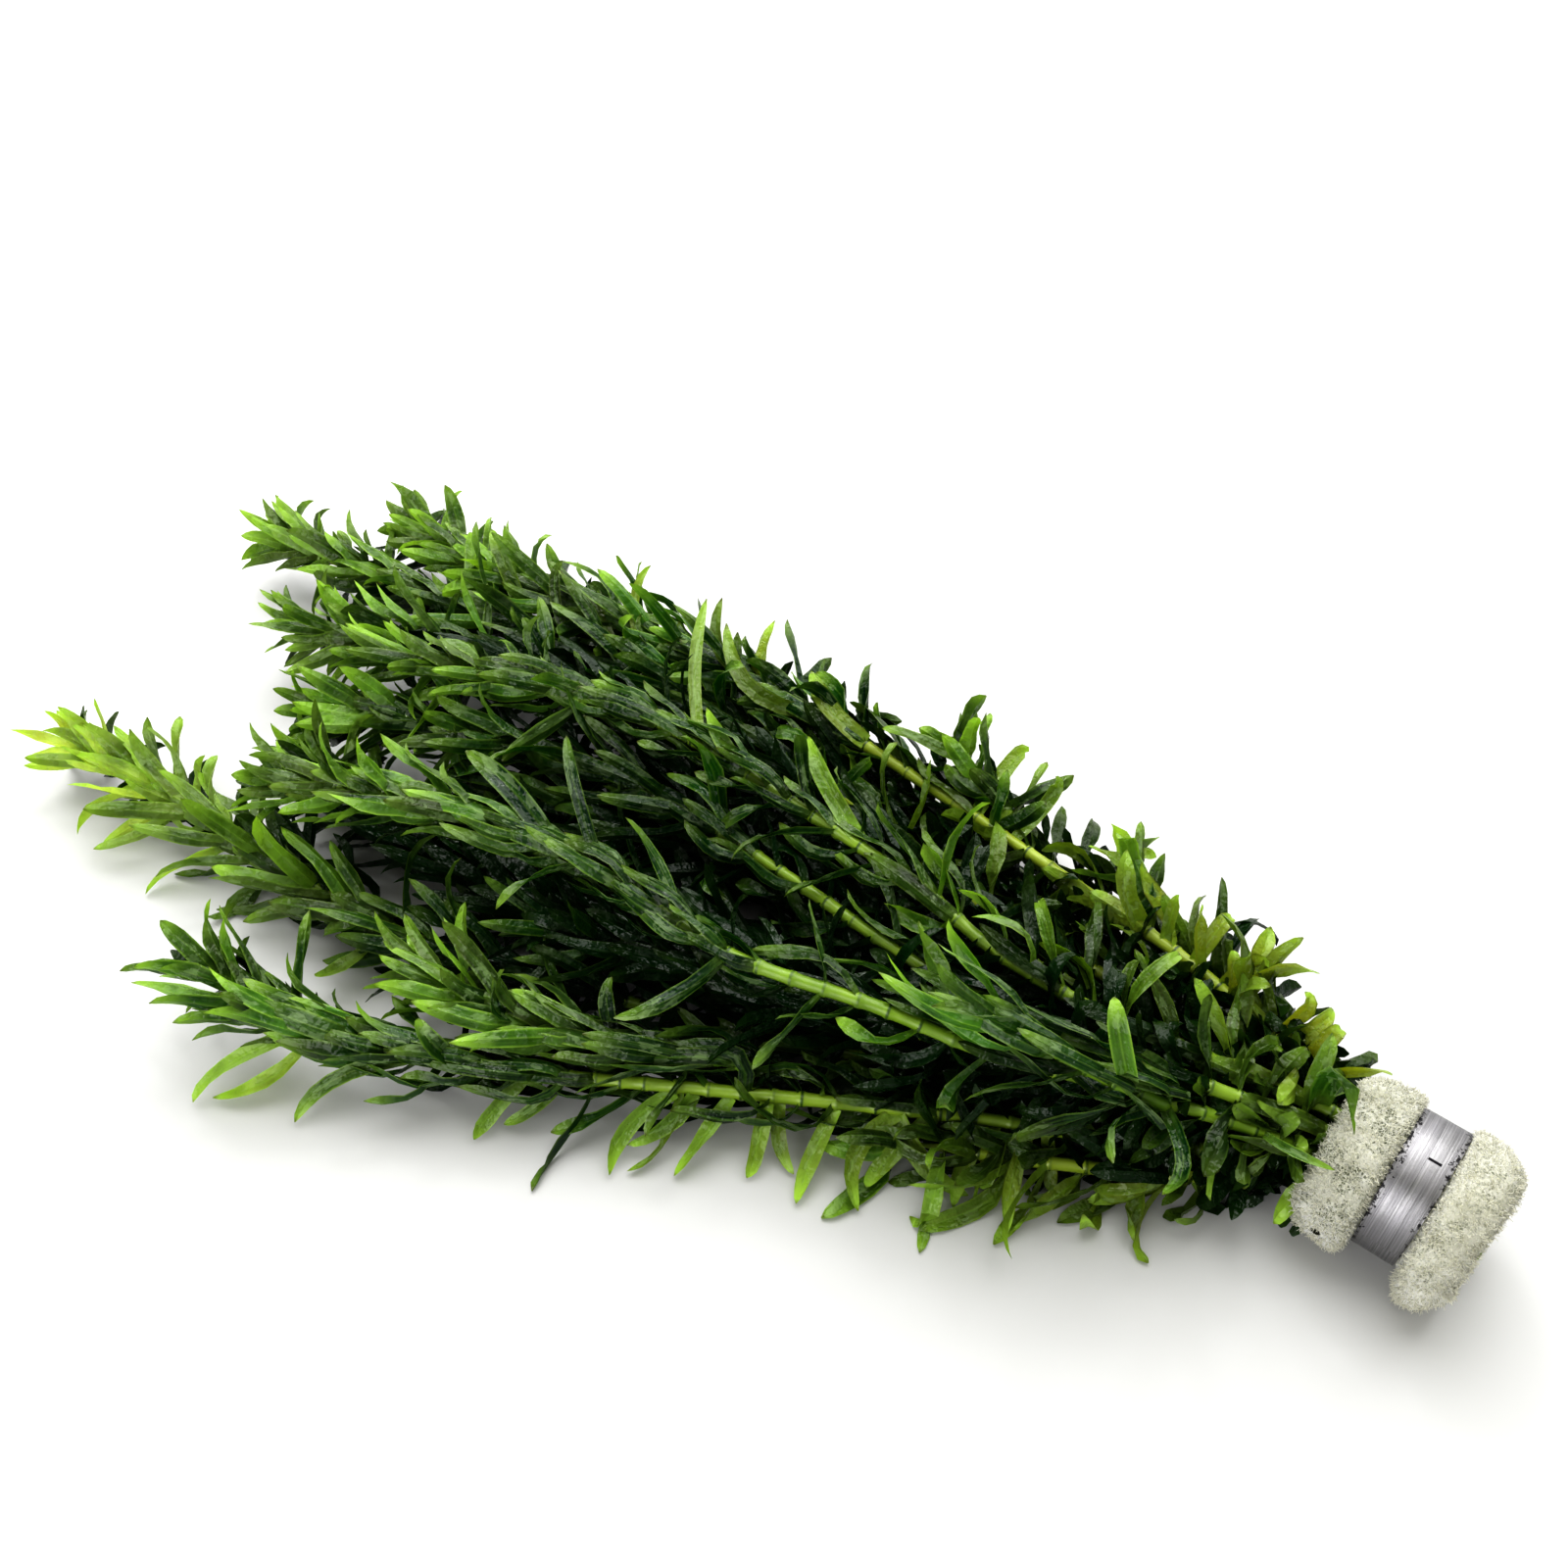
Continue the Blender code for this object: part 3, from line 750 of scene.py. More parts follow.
def buriedShares(spine):
    openSide = unit(np.array(leafPlan["openSide"]))
    shares = []
    for spot in spine[:, leafLay["steps"] // 2]:
        found = stemTree.find_range(spot + openSide * cover["ahead"], cover["reach"])
        near = [stemPoints[index][1] - spot for _, index, _ in found]
        over = [offset for offset in near if offset @ openSide > max(
            cover["least"], cover["slope"] * np.linalg.norm(offset))]
        shares.append(min(len(over) / cover["full"], 1))
    return np.array(shares)


# Single leaves that stand out of the outline or lie over the others. For each stem: how far along
# it, the points at the leaf's middle and tip in mm, then its width, luck, youth and age
loneLeaves = {
    "stem_07": (
        (189, (-167.4, -64.4, 7), (-171.3, -70.5, 1.5), 3, 0.8, 0.55, 0),
        (187, (-160.6, -62.7, 5), (-169, -68.3, 1.5), 3.2, 0.9, 0.75, 0),
        (171, (-149.7, -58.6, 7), (-153.7, -65.6, 1.2), 3, 0.5, 0.2, 0.1),
        (151, (-124.3, -51.1, 4), (-125.2, -54.8, 1.2), 3, 0.8, 0.35, 0.2),
        (145, (-118, -47.3, 5), (-122.4, -50.3, 1.5), 2.6, 0.5, 0.1, 0.2),
        (126, (-102.5, -43.2, 5), (-102, -50.1, 1), 3.2, 0.8, 0.2, 0.35),
        (125, (-96.2, -42.8, 3), (-99.8, -48.2, 1), 2.6, 0.5, 0.1, 0.5),
        (163, (-133.7, -50.5, 18), (-137.6, -48.2, 19), 3.6, 0.3, 0.1, 0),
        (123, (-96.6, -40.4, 6), (-101.6, -45, 3), 3.2, 0.7, 0.1, 0.3),
        (117, (-90.5, -39.9, 5), (-92.6, -45.5, 1), 3, 0.8, 0.2, 0.4),
        (111, (-82.2, -36.6, 4), (-82, -40.5, 1), 3.2, 0.9, 0.3, 0.5),
        (109, (-79.5, -33.6, 4), (-75.5, -36.4, 1), 2.8, 0.6, 0.1, 0.5),
        (100, (-73.4, -34.5, 4), (-72.9, -40.9, 1), 3.2, 0.9, 0.3, 0.5),
        (90, (-67.1, -31.8, 6), (-63.5, -37.6, 1), 3.4, 0.7, 0.1, 0.6),
        (85, (-62.7, -29, 4), (-64, -33.5, 1.5), 3.4, 0.8, 0.3, 0.5),
        (90, (-56.7, -27.4, 5), (-49, -27.1, 1), 3.6, 0.6, 0.1, 0.5),
        (76, (-51.2, -24, 4), (-50.4, -30.2, 1), 3.4, 0.8, 0.2, 0.7),
        (74, (-48.2, -23.2, 4), (-47.5, -28.3, 1), 3, 0.7, 0.1, 0.8),
        (69, (-43.4, -23.7, 5), (-41.1, -30.3, 1), 3.2, 0.8, 0.1, 0.8),
        (66, (-38.6, -18.3, 3), (-37.5, -20.5, 1), 2.8, 0.5, 0, 0.8),
        (40, (-24.5, -14.2, 4), (-31.9, -19.6, 1), 4.2, 0.9, 0, 1),
        (59, (-41.5, -14.3, 14), (-45.6, -20.1, 9), 2, 0.3, 0.1, 0),
    ),
    "side_shoot_1": (
        (44, (-127, -41.7, 20), (-130, -37.6, 22), 3, 0.1, 0, 0),
        (26, (-112.5, -31.3, 18), (-113.1, -28.1, 21), 3, 0.2, 0, 0),
    ),
    "stem_01": (
        (188, (-162.8, -39.4, 8), (-167.7, -42.4, 6), 3, 0.9, 0.9, 0),
    ),
    "stem_02": (
        (34, (-6.6, -12.7, 25), (-0.6, -12.2, 24), 1.6, 0.5, 0.2, 0),
        (151, (-133.1, -5.7, 36), (-140, 2.7, 38), 2.6, 0.2, 0, 0),
        (162, (-145.2, -8.5, 33), (-157.3, -4.5, 33), 4.4, 0.3, 0, 0),
    ),
    "stem_03": (
        (29, (-4.2, -2.2, 31.4), (0.1, -8.3, 28.4), 5.2, 0.45, 0, 0.1),
        (151, (-132.3, 34.3, 34), (-138.5, 50.2, 36), 2.8, 0.7, 0.1, 0.5),
        (113, (-96, 15.9, 35), (-102.2, 21.9, 38), 3.6, 0.78, 0.15, 0.3),
        (139, (-116.9, 17.5, 34), (-122.9, 22.2, 36), 3.2, 0.8, 0.1, 0.2),
    ),
    "stem_05": (
        (32, (-0.7, 3.2, 29), (3.2, 5, 28), 2.2, 0.6, 0, 0.9),
        (164, (-137, 51, 24), (-140.5, 59.7, 29), 2.8, 0.1, 0, 0.3),
        (147, (-126.6, 44.1, 23), (-137, 55, 27), 3.8, 0.35, 0.1, 0.4),
        (162, (-129.7, 57.1, 21), (-130.4, 63.7, 24), 3.4, 0.9, 0.2, 0.8),
        (133, (-109.3, 45.4, 23), (-115.5, 50.5, 26), 4.4, 0.7, 0.1, 0.7),
        (106, (-72.3, 48.5, 22), (-70, 50.3, 24), 3.6, 0.9, 0.3, 0.5),
        (97, (-62.7, 43, 22), (-62.9, 44.1, 26), 3, 0.7, 0.1, 0.4),
        (69, (-43.5, 23.9, 26), (-45.4, 28.9, 30), 4.2, 0.7, 0.1, 0.6),
        (64, (-35, 24.6, 24), (-34.9, 25.8, 27), 2.6, 0.8, 0.2, 0.6),
        (57, (-30.3, 22, 25), (-30.9, 25.5, 27), 3.4, 0.9, 0.3, 0.9),
        (58, (-27, 25.1, 24), (-25.8, 27.6, 24), 3.2, 0.8, 0.2, 0.9),
        (49, (-17, 20.3, 24), (-10, 25.3, 21), 4.2, 0.7, 0.1, 0.8),
        (50, (-23, 16.6, 25), (-23.8, 18.3, 27), 2.6, 0.7, 0.1, 0.9),
        (41, (-10.8, 13.5, 25), (-11.7, 15.2, 27), 3, 0.9, 0.3, 1),
        (34, (-6.1, 10.5, 24), (-4.9, 13.1, 24), 3.4, 1, 0.5, 1),
        (38, (-8.2, 11.9, 24), (-6.9, 15.5, 25), 3, 0.9, 0.3, 1),
    ),
    "stem_04": (
        (213, (-194.4, 58.1, 20), (-201.7, 63.8, 24), 4, 0.6, 0.15, 0.2),
        (231, (-205.7, 60.3, 18), (-208.3, 64, 21), 3, 0.8, 0.4, 0.1),
        (203, (-180.3, 56.1, 20), (-181, 61.2, 24), 2.6, 0.05, 0, 0.1),
        (190, (-169.7, 54.9, 20), (-177.9, 56.7, 22), 3.4, 0.1, 0, 0.3),
        (182, (-160.4, 56.8, 22), (-160.8, 64.9, 27), 2.4, 0.7, 0.1, 0.7),
    ),
    "stem_08": (
        (193, (-170.7, 36, 24), (-175, 37.8, 27), 3, 0.4, 0, 0),
    ),
    "side_shoot_3": (
        (18, (-82.7, 45.7, 26), (-84.2, 50.4, 28), 2.8, 0.1, 0, 0),
        (18, (-90.2, 43, 25), (-97.2, 43.7, 24), 3, 0.5, 0.1, 0.2),
    ),
    "side_shoot_4": (
        (11, (-49, 33.6, 22), (-52.7, 33.3, 23), 2.8, 0.8, 0.3, 0.6),
        (12, (-43.5, 36.7, 22), (-41.2, 37.1, 22), 2.8, 0.9, 0.3, 0.6),
    ),
    "side_shoot_2": (
        (13, (-34.1, -16.3, 40), (-36.9, -11.2, 42), 3.6, 0.68, 0.1, 0.1),
    ),
}
loneLay = {
    "seed": 111,
    "facing": 0.22,
    "twist": 32,  # degrees
    "width": 0.88,
    "place": 0.8,  # they have the outline of leaves near the tip
    "buried": 0.3,  # and hardly darken under the others
}


def layLone(rows, route):
    # a smooth arc from the stem through the middle point to the tip, face up
    count = len(rows)
    chance = np.random.default_rng(loneLay["seed"] + count)
    columns = [np.array(column, float) for column in zip(*rows)]
    distance, middle, tip, width, luck, youth, age = columns
    base, tangent, _ = along(route, distance)
    middle = middle + np.array(bunchShift)
    tip = tip + np.array(bunchShift)
    outward = unit(squareTo(middle - base, tangent))
    base = base + outward * leafLay["stemRadius"] * leafLay["rooted"]
    corner = 2 * middle - (base + tip) / 2
    share = np.linspace(0, 1, leafLay["steps"] + 1)[None, :, None]
    spine = (base[:, None] * (1 - share) ** 2 + corner[:, None] * 2 * share * (1 - share)
             + tip[:, None] * share ** 2)
    directions = unit(np.gradient(spine, axis=1))
    facing = unit(np.array(leafPlan["openSide"]) + chance.normal(0, loneLay["facing"], (count, 3)))
    across = unit(np.cross(facing[:, None], directions))
    twist = np.radians(chance.normal(0, loneLay["twist"], count))[:, None] * share[..., 0]
    across = spun(across, directions, twist)
    numbers = {"width": width * loneLay["width"], "luck": luck, "youth": youth, "age": age}
    return numbers, spine, across, directions


def bladeMesh(leaves, spine, widths, directions):
    # every leaf's blade laid along its spine, as one array of points
    steps = leafLay["steps"]
    sideways, thick, upwards = bladePoints.T
    luck = leaves["luck"][:, None]
    rowLance = np.interp(upwards, (0.0, *blade["rows"], 1.0), blade["lance"])
    young = np.clip((leaves["place"] - blade["lanceFrom"]) / blade["lanceOver"], 0, 1)[:, None]
    lance = young * (blade["lanceLuck"][0] + blade["lanceLuck"][1] * luck)
    width = leaves["width"][:, None] * (1 + lance * (rowLance - 1)[None, :])
    place = np.clip(upwards, 0, 1) * steps
    lower = np.minimum(place.astype(int), steps - 1)
    share = (place - lower)[None, :, None]
    spot = spine[:, lower] * (1 - share) + spine[:, lower + 1] * share
    across = unit(widths[:, lower] * (1 - share) + widths[:, lower + 1] * share)
    ahead = unit(directions[:, lower] * (1 - share) + directions[:, lower + 1] * share)
    face = np.cross(ahead, across)
    thickness = thick[None, :] * width
    cup = np.abs(sideways)[None, :] * width * blade["cup"]
    # each edge ruffles in its own time
    ruffle = blade["ruffle"]
    start = luck * ruffle["luck"] + np.sign(sideways)[None, :] * ruffle["side"]
    wave = np.sin(start + upwards[None, :] * ruffle["waves"]) * np.abs(sideways)[None, :]
    lift = thickness + (cup + wave * width * ruffle["height"])
    points = spot + across * (sideways[None, :] * width)[..., None] + face * lift[..., None]
    # a leaf that lies on the table keeps its thickness
    least, more = blade["table"]
    points[..., 2] = np.maximum(points[..., 2], least + more * (thickness > 0))
    return points.reshape(-1, 3)


stemShape = {
    "sides": 10,
    "step": 1.4,
    "nodeSwell": 0.2,
    "nodeReach": 0.6,
    "nodeLine": 0.32,
    "nodeCuts": (-0.75, -0.35, -0.12, 0.12, 0.35, 0.75),
    "tipTaper": 14.0,
    "tipLeast": 0.05,
    "tipCurve": 0.7,
}


def stemMesh(route, nodes):
    # a round stem, a little swollen where each whorl grows, tapering to its tip
    count = stemShape["sides"]
    grown = route["grown"]
    distances = np.arange(0, grown, stemShape["step"])
    cuts = (nodes[:, None] + np.array(stemShape["nodeCuts"])[None, :]).ravel()
    distances = np.concatenate([distances, cuts, [grown]]).clip(0, grown)
    distances = np.unique(distances.round(2))
    point, tangent, side = along(route, distances)
    gap = np.abs(distances[:, None] - nodes[None, :]).min(axis=1)
    swell = np.exp(-(gap / stemShape["nodeReach"]) ** 2)
    ring = np.exp(-(gap / stemShape["nodeLine"]) ** 2)
    left = (grown - distances) / stemShape["tipTaper"]
    left = np.clip(left, stemShape["tipLeast"], 1) ** stemShape["tipCurve"]
    radius = leafLay["stemRadius"] * (1 + stemShape["nodeSwell"] * swell) * left
    angles = np.arange(count) * math.tau / count
    cosine, sine = np.cos(angles)[None, :, None], np.sin(angles)[None, :, None]
    arms = side[:, None] * cosine + np.cross(tangent, side)[:, None] * sine
    points = point[:, None] + arms * radius[:, None, None]
    faces = []
    for first in range(0, (len(distances) - 1) * count, count):
        for column in range(count):
            here, after = first + column, first + (column + 1) % count
            faces.append((here, after, after + count, here + count))
    faces.append(tuple(range(count))[::-1])
    final = (len(distances) - 1) * count
    faces.append(tuple(final + column for column in range(count)))
    place = np.repeat(distances / grown, count)
    return points.reshape(-1, 3), faces, np.repeat(ring, count), place


# How a leaf looks by its place on the stem and its luck: the first number is what every leaf has,
# the second what a lucky one has more
leafTone = {
    "youth": {"from": 0.5, "over": 0.45, "curve": 1.6, "pale": (0.12, 0.88), "luck": (0.4, 0.6)},
    "age": {"to": 0.45, "curve": 0.7, "old": 0.25, "luck": (0.3, 0.9)},
    # how much painted shade a leaf deep in the bunch takes, and how much of its pale and aged tints
    # it loses
    "hidden": ((0.0, 0.15, 0.7, 0.92), (0.6, 1, 1)),
    "buriedDulls": 0.7,
    "sharp": math.radians(40),
}


def leafGrowth(plan, leaves, spine, lone):
    # red is youth, green is luck, blue is age and alpha is how deep the leaf lies in the bunch,
    # which sets its painted shade
    place, luck = leaves["place"], leaves["luck"]
    tone = leafTone["youth"]
    pale = tone["pale"][0] + tone["pale"][1] * plan["pale"]
    youth = np.clip((place - tone["from"]) / tone["over"], 0, 1) ** tone["curve"]
    youth = youth * pale * (tone["luck"][0] + tone["luck"][1] * luck)
    tone = leafTone["age"]
    age = np.clip(1 - place / tone["to"], 0, 1) ** tone["curve"] * (tone["old"] + plan["old"])
    age = np.clip(age * (tone["luck"][0] + tone["luck"][1] * luck), 0, 1)
    places, hidden = leafTone["hidden"]
    hidden = plan["under"] * np.interp(place, places, (*hidden, plan["dim"]))
    buried = np.clip(buriedShares(spine) + hidden, 0, 1)
    if lone:
        alone = len(lone["width"])
        youth[-alone:], age[-alone:] = lone["youth"], lone["age"]
        buried[-alone:] *= loneLay["buried"]
    # painted shade: a leaf deep in the bunch loses its pale and aged tints
    fresh = 1 - leafTone["buriedDulls"] * buried
    return np.stack([youth * fresh, luck, age * fresh, buried], 1)


def stemGrowth(plan, ring):
    # blue is age as in the leaves, and alpha is the dark ring at a node
    growth = np.zeros((len(ring), 4))
    growth[:, 2] = min(plan["old"], 1)
    growth[:, 3] = ring
    return growth


def linkPiece(name, mesh):
    item = bpy.data.objects.new(name, mesh)
    bpy.context.scene.collection.objects.link(item)
    return item


def buildShoot(number, name, plan, materials):
    chance = np.random.default_rng(leafLuck["seed"] + number)
    route = routes[name]
    leaves, nodes = planLeaves(plan, route, chance)
    laid = layLeaves(number, plan, route, leaves, chance)
    lone = None
    if name in loneLeaves:
        lone, *loneLaid = layLone(loneLeaves[name], route)
        laid = [np.concatenate(pair) for pair in zip(laid, loneLaid)]
        lone["place"] = np.full(len(lone["width"]), loneLay["place"])
        for key in ("width", "luck", "place"):
            leaves[key] = np.concatenate([leaves[key], lone[key]])
    spine = laid[0]
    count = len(spine)
    blades = bladeMesh(leaves, *laid)
    stem, stemFaces, ring, stemPlace = stemMesh(route, nodes)
    size = len(bladePoints)
    faces = list(stemFaces)
    for start in range(len(stem), len(stem) + count * size, size):
        faces += [tuple(start + corner for corner in face) for face in bladeFaces]
    mesh = bpy.data.meshes.new("leafy_" + name)
    mesh.from_pydata(np.concatenate([stem, blades]) * mm, [], faces)
    for material in materials:
        mesh.materials.append(material)
    kinds = np.repeat([0, 1], [len(stemFaces), len(faces) - len(stemFaces)])
    mesh.polygons.foreach_set("material_index", kinds)
    # u runs across a blade, v from its base to its tip
    u = np.concatenate([np.zeros(len(stem)), np.tile(bladePoints[:, 0] + 0.5, count)])
    v = np.concatenate([stemPlace, np.tile(bladePoints[:, 2], count)])
    corners = np.zeros(len(mesh.loops), int)
    mesh.loops.foreach_get("vertex_index", corners)
    layer = mesh.uv_layers.new(name="blade")
    layer.data.foreach_set("uv", np.stack([u[corners], v[corners]], 1).ravel())
    growth = np.concatenate([
        stemGrowth(plan, ring),
        np.repeat(leafGrowth(plan, leaves, spine, lone), size, axis=0),
    ])
    attribute = mesh.attributes.new("growth", "FLOAT_COLOR", "POINT")
    attribute.data.foreach_set("color", growth.ravel())
    mesh.shade_smooth()
    mesh.set_sharp_from_angle(angle=leafTone["sharp"])
    item = linkPiece("leafy_" + name, mesh)
    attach(item, "root")
    if name not in tanglePlans:
        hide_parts(name)
    return count


# The colours of a leaf: own is the green that its luck gives it, and glow is what the light
# behind it turns that into
leafLook = {
    "own": ((0.0, "#03170e"), (0.35, "#052b15"), (0.62, "#0e4212"), (0.85, "#30741e"),
            (1.0, "#9ac65c")),
    "young": "#cce87c",
    "patch": "#083312",
    "aged": "#8e9e3c",
    "vein": "#78a845",
    "pale": "#b2d65a",
    "brown": "#4a4018",
    # film is a painted sheen: the pale grey-green of the patches where the water has run off
    "film": "#a2ba86",
    # painted shade: the near-black green of a leaf deep in the bunch, and how much of it it takes
    "deep": "#072b0c",
    "paintedShadeShare": 0.92,
    # how much of that painted sheen the dry patches take
    "paintedSheenShare": 0.32,
    "rough": (0.08, 0.34),  # wet and dry
    "glow": ((0.0, "#1a5e15"), (0.5, "#46941d"), (1.0, "#c0e854")),
    "glowYoung": "#fcff98",
    "glowAged": "#e0e066",
    "glowPale": "#e0fa84",
    # painted shade: the light through a leaf deep in the bunch
    "glowPaintedShade": "#165410",
    "through": (0.42, 0.6),  # how much light passes, old and young
}


def wetLeafMaterial():
    # living waterweed leaf, wet: thin enough to glow with the light behind it
    look = leafLook
    material = newMaterial("wetWaterweedLeaf")
    node, mixed, noise, mapped, maths, bump, ramp = nodeTools(material)
    growth = node("Attribute", attribute_name="growth")
    youth, luck, age = node("SeparateColor", {"Color": growth["Color"]})
    u, v, _ = node("SeparateXYZ", {"Vector": node("UVMap", uv_map="blade")["UV"]})
    spot = node("TexCoord")["Object"]
    away = maths("ABSOLUTE", maths("SUBTRACT", u, 0.5))
    # painted shade: how deep the leaf lies in the bunch sets how dark it is painted
    deep = maths("MULTIPLY", growth["Alpha"], look["paintedShadeShare"])

    # fine veins run along the blade, different on every leaf
    leafPlace = node("CombineXYZ", {"X": u, "Y": v, "Z": maths("MULTIPLY", luck, 31.0)})["Vector"]
    stretched = node("Mapping", {"Vector": leafPlace, "Scale": (9.0, 1.3, 1.0)})["Vector"]
    veins = noise(stretched, 1.0, 3.0)
    # the film of water ends in sharp edges: rougher where it has run off, and painted there with a
    # pale grey-green sheen
    filmPlace = node("Mapping", {"Vector": leafPlace, "Scale": (1.6, 3.4, 1.0)})["Vector"]
    dry = mapped(noise(filmPlace, 1.0, 3.0, 0.6), 0.565, 0.59, 0.0, 1.0)

    # each leaf has its own green, from almost black to mid green, and yellower where it is young
    colour = mixed(youth, ramp(luck, *look["own"]), look["young"])
    colour = mixed(mapped(noise(spot, 90.0, 3.0), 0.42, 0.62, 0.0, 0.75), colour, look["patch"])
    colour = mixed(age, colour, look["aged"])
    colour = mixed(mapped(veins, 0.42, 0.68, 0.0, 0.3), colour, look["vein"])
    # paler along the midrib, the rim, the base and the tip
    rib = mapped(away, 0.0, 0.07, 0.28, 0.0)
    rim = mapped(away, 0.38, 0.5, 0.0, 0.6)
    ends = ramp(v, (0.0, (0.5, 0.5, 0.5, 1)), (0.18, (0, 0, 0, 1)), (0.62, (0, 0, 0, 1)),
                (0.95, (0.8, 0.8, 0.8, 1)))
    faint = mapped(maths("ADD", luck, youth), 0.2, 0.9, 0.38, 1.0)
    paler = maths("MULTIPLY", maths("MAXIMUM", maths("MAXIMUM", rib, ends), rim), faint)
    colour = mixed(paler, colour, look["pale"])
    # old leaves are brown along their edges, and every leaf is dark at the very point
    brown = maths("MULTIPLY", mapped(away, 0.38, 0.5, 0.0, 1.0), age)
    brown = maths("MAXIMUM", brown, mapped(v, 0.94, 1.0, 0.0, 0.8))
    colour = mixed(brown, colour, look["brown"])
    # painted sheen: the dry patches are painted paler grey-green
    colour = mixed(maths("MULTIPLY", dry, look["paintedSheenShare"]), colour, look["film"])
    # painted shade: deep in the bunch the leaves are darkened almost to black
    colour = mixed(deep, colour, look["deep"])
    # the blade isn't quite flat: the wet film glints in small broken spots
    veinBump = bump(maths("SUBTRACT", veins, dry), 0.5, 0.0002)
    surface = bump(noise(spot, 520.0), 0.6, 0.0011, Normal=veinBump)
    gloss = node("BsdfPrincipled", {
        "Base Color": colour,
        "Roughness": mapped(dry, 0.0, 1.0, *look["rough"]),
        "IOR": 1.44,
        "Specular IOR Level": 0.5,
        "Normal": surface,
    })["BSDF"]
    # light comes through old dark leaves deep green and through young ones yellow
    colour = mixed(youth, ramp(luck, *look["glow"]), look["glowYoung"])
    colour = mixed(age, colour, look["glowAged"])
    colour = mixed(paler, colour, look["glowPale"])
    # painted shade: deep in the bunch the light through a leaf is darkened too
    colour = mixed(deep, colour, look["glowPaintedShade"])
    glow = node("BsdfTranslucent", {"Color": colour, "Normal": surface})["BSDF"]
    through = mapped(youth, 0.0, 0.8, *look["through"])
    leaf = node("MixShader", {"Fac": through, 1: gloss, 2: glow})
    return finishMaterial(material, leaf["Shader"])


stemLook = {
    "green": ((0.3, "#46681a"), (0.7, "#76962a")),
    "aged": "#a6b040",
    "agedShare": 0.6,
    "node": "#24400e",
    "rough": 0.38,
}


def wetStemMaterial():
    # smooth round stem, yellow-green, with a dark line where each whorl grows
    material = newMaterial("wetWaterweedStem")
    node, mixed, noise, mapped, maths, _, ramp = nodeTools(material)
    growth = node("Attribute", attribute_name="growth")
    _, _, age = node("SeparateColor", {"Color": growth["Color"]})
    cloud = noise(node("TexCoord")["Object"], 160.0, 3.0)
    ripe = maths("MULTIPLY", age, stemLook["agedShare"])
    colour = mixed(ripe, ramp(cloud, *stemLook["green"]), stemLook["aged"])
    joint = mapped(growth["Alpha"], 0.3, 0.85, 0.0, 0.92)
    worn = mapped(cloud, 0.4, 0.56, 0.35, 1.0)
    shader = node("BsdfPrincipled", {
        "Base Color": mixed(maths("MULTIPLY", joint, worn), colour, stemLook["node"]),
        "Roughness": stemLook["rough"],
        "IOR": 1.42,
        "Coat Weight": 0.12,
        "Coat Roughness": 0.12,
        "Subsurface Weight": 0.25,
        "Subsurface Radius": (0.8, 1.0, 0.2),
        "Subsurface Scale": 0.001,
    })
    return finishMaterial(material, shader["BSDF"])


shootMaterials = (wetStemMaterial(), wetLeafMaterial())
leafTotal = 0
for number, (name, plan) in enumerate(stemPlans.items()):
    leafTotal += buildShoot(number, name, plan, shootMaterials)
print("shoots grown with", leafTotal, "leaves")

# The sponge, turned about the collar's own axis and bound by the lead: (along, radius) in mm
sponge = {
    "sides": 52,
    "outline": (
        (-11.4, 8.0), (-12.6, 9.2), (-13.1, 10.6), (-12.7, 11.8), (-11.6, 12.6), (-10.0, 13.1),
        (-8.2, 13.3), (-6.5, 13.6), (-5.0, 13.6), (-4.1, 12.7), (-3.8, 11.1), (-2.4, 10.7),
        (0.0, 10.7), (2.4, 10.7), (3.7, 10.9), (4.0, 12.4), (4.9, 13.6), (6.4, 14.0),
        (8.0, 13.9), (9.8, 13.4), (11.2, 12.4), (12.0, 11.0), (12.2, 9.6), (11.6, 8.4),
        (10.6, 7.6),
    ),
    "shift": ((-12.6, 1.0), (-11, 1.1), (-8.4, 0.9), (-6, 0.9), (-4.5, 0.8), (-3.8, 0), (3.8, 0),
              (4.8, 1.2), (8, 1.8), (11, 1.6)),  # (along, how far each ring is moved aside)
    "shiftAngle": math.radians(216.5),
    "sag": {"share": 0.05, "angle": math.radians(250), "outside": 11},
    "narrow": {"from": 4.0, "share": 0.24, "angle": math.radians(190), "rim": 1.8, "over": 3},
    "rounding": 3,
    "lumps": ((5.0, 1.6), (2.2, 0.8)),  # (size, height)
    "bound": {"half": 3.2, "over": 2.5},  # the band's half width, and where the lumps are back
    "pore": {"size": 0.6, "depth": 0.36, "strength": 1.6, "seed": 5, "jitter": 0.045},
    "floor": {"skin": 0.45, "pores": 0.05},  # the least heights over the table
    "hole": {"radius": 6.6, "within": 8.4, "half": 11, "cuts": 8},
    "speck": {"along": -7.9, "angle": math.radians(197), "radius": 13.4},
}
speckPlace = collarPoint(collarMiddle, **sponge["speck"])
collarFrame = Matrix.Translation(collarMiddle) @ Matrix((
    (collarSide.x, collarUp.x, collarAlong.x, 0),
    (collarSide.y, collarUp.y, collarAlong.y, 0),
    (collarSide.z, collarUp.z, collarAlong.z, 0),
    (0, 0, 0, 1)))


def collarParts(points):
    # each point seen from the collar's middle, how far along it lies, and its arm from the axis
    local = points - np.array(collarMiddle)
    axial = local @ np.array(collarAlong)
    return local, axial, local - axial[:, None] * np.array(collarAlong)


def meshPoints(item):
    points = np.zeros(len(item.data.vertices) * 3)
    item.data.vertices.foreach_get("co", points)
    return points.reshape(-1, 3)


def putPoints(item, points):
    item.data.vertices.foreach_set("co", points.ravel())
    item.data.update()


def applyDisplace(item, texture, strength, middle=0.5):
    takeUp(item)
    lift = item.modifiers.new("lift", "DISPLACE")
    lift.texture = texture
    lift.texture_coords = "LOCAL"
    lift.strength = strength
    lift.mid_level = middle
    bpy.ops.object.modifier_apply(modifier="lift")


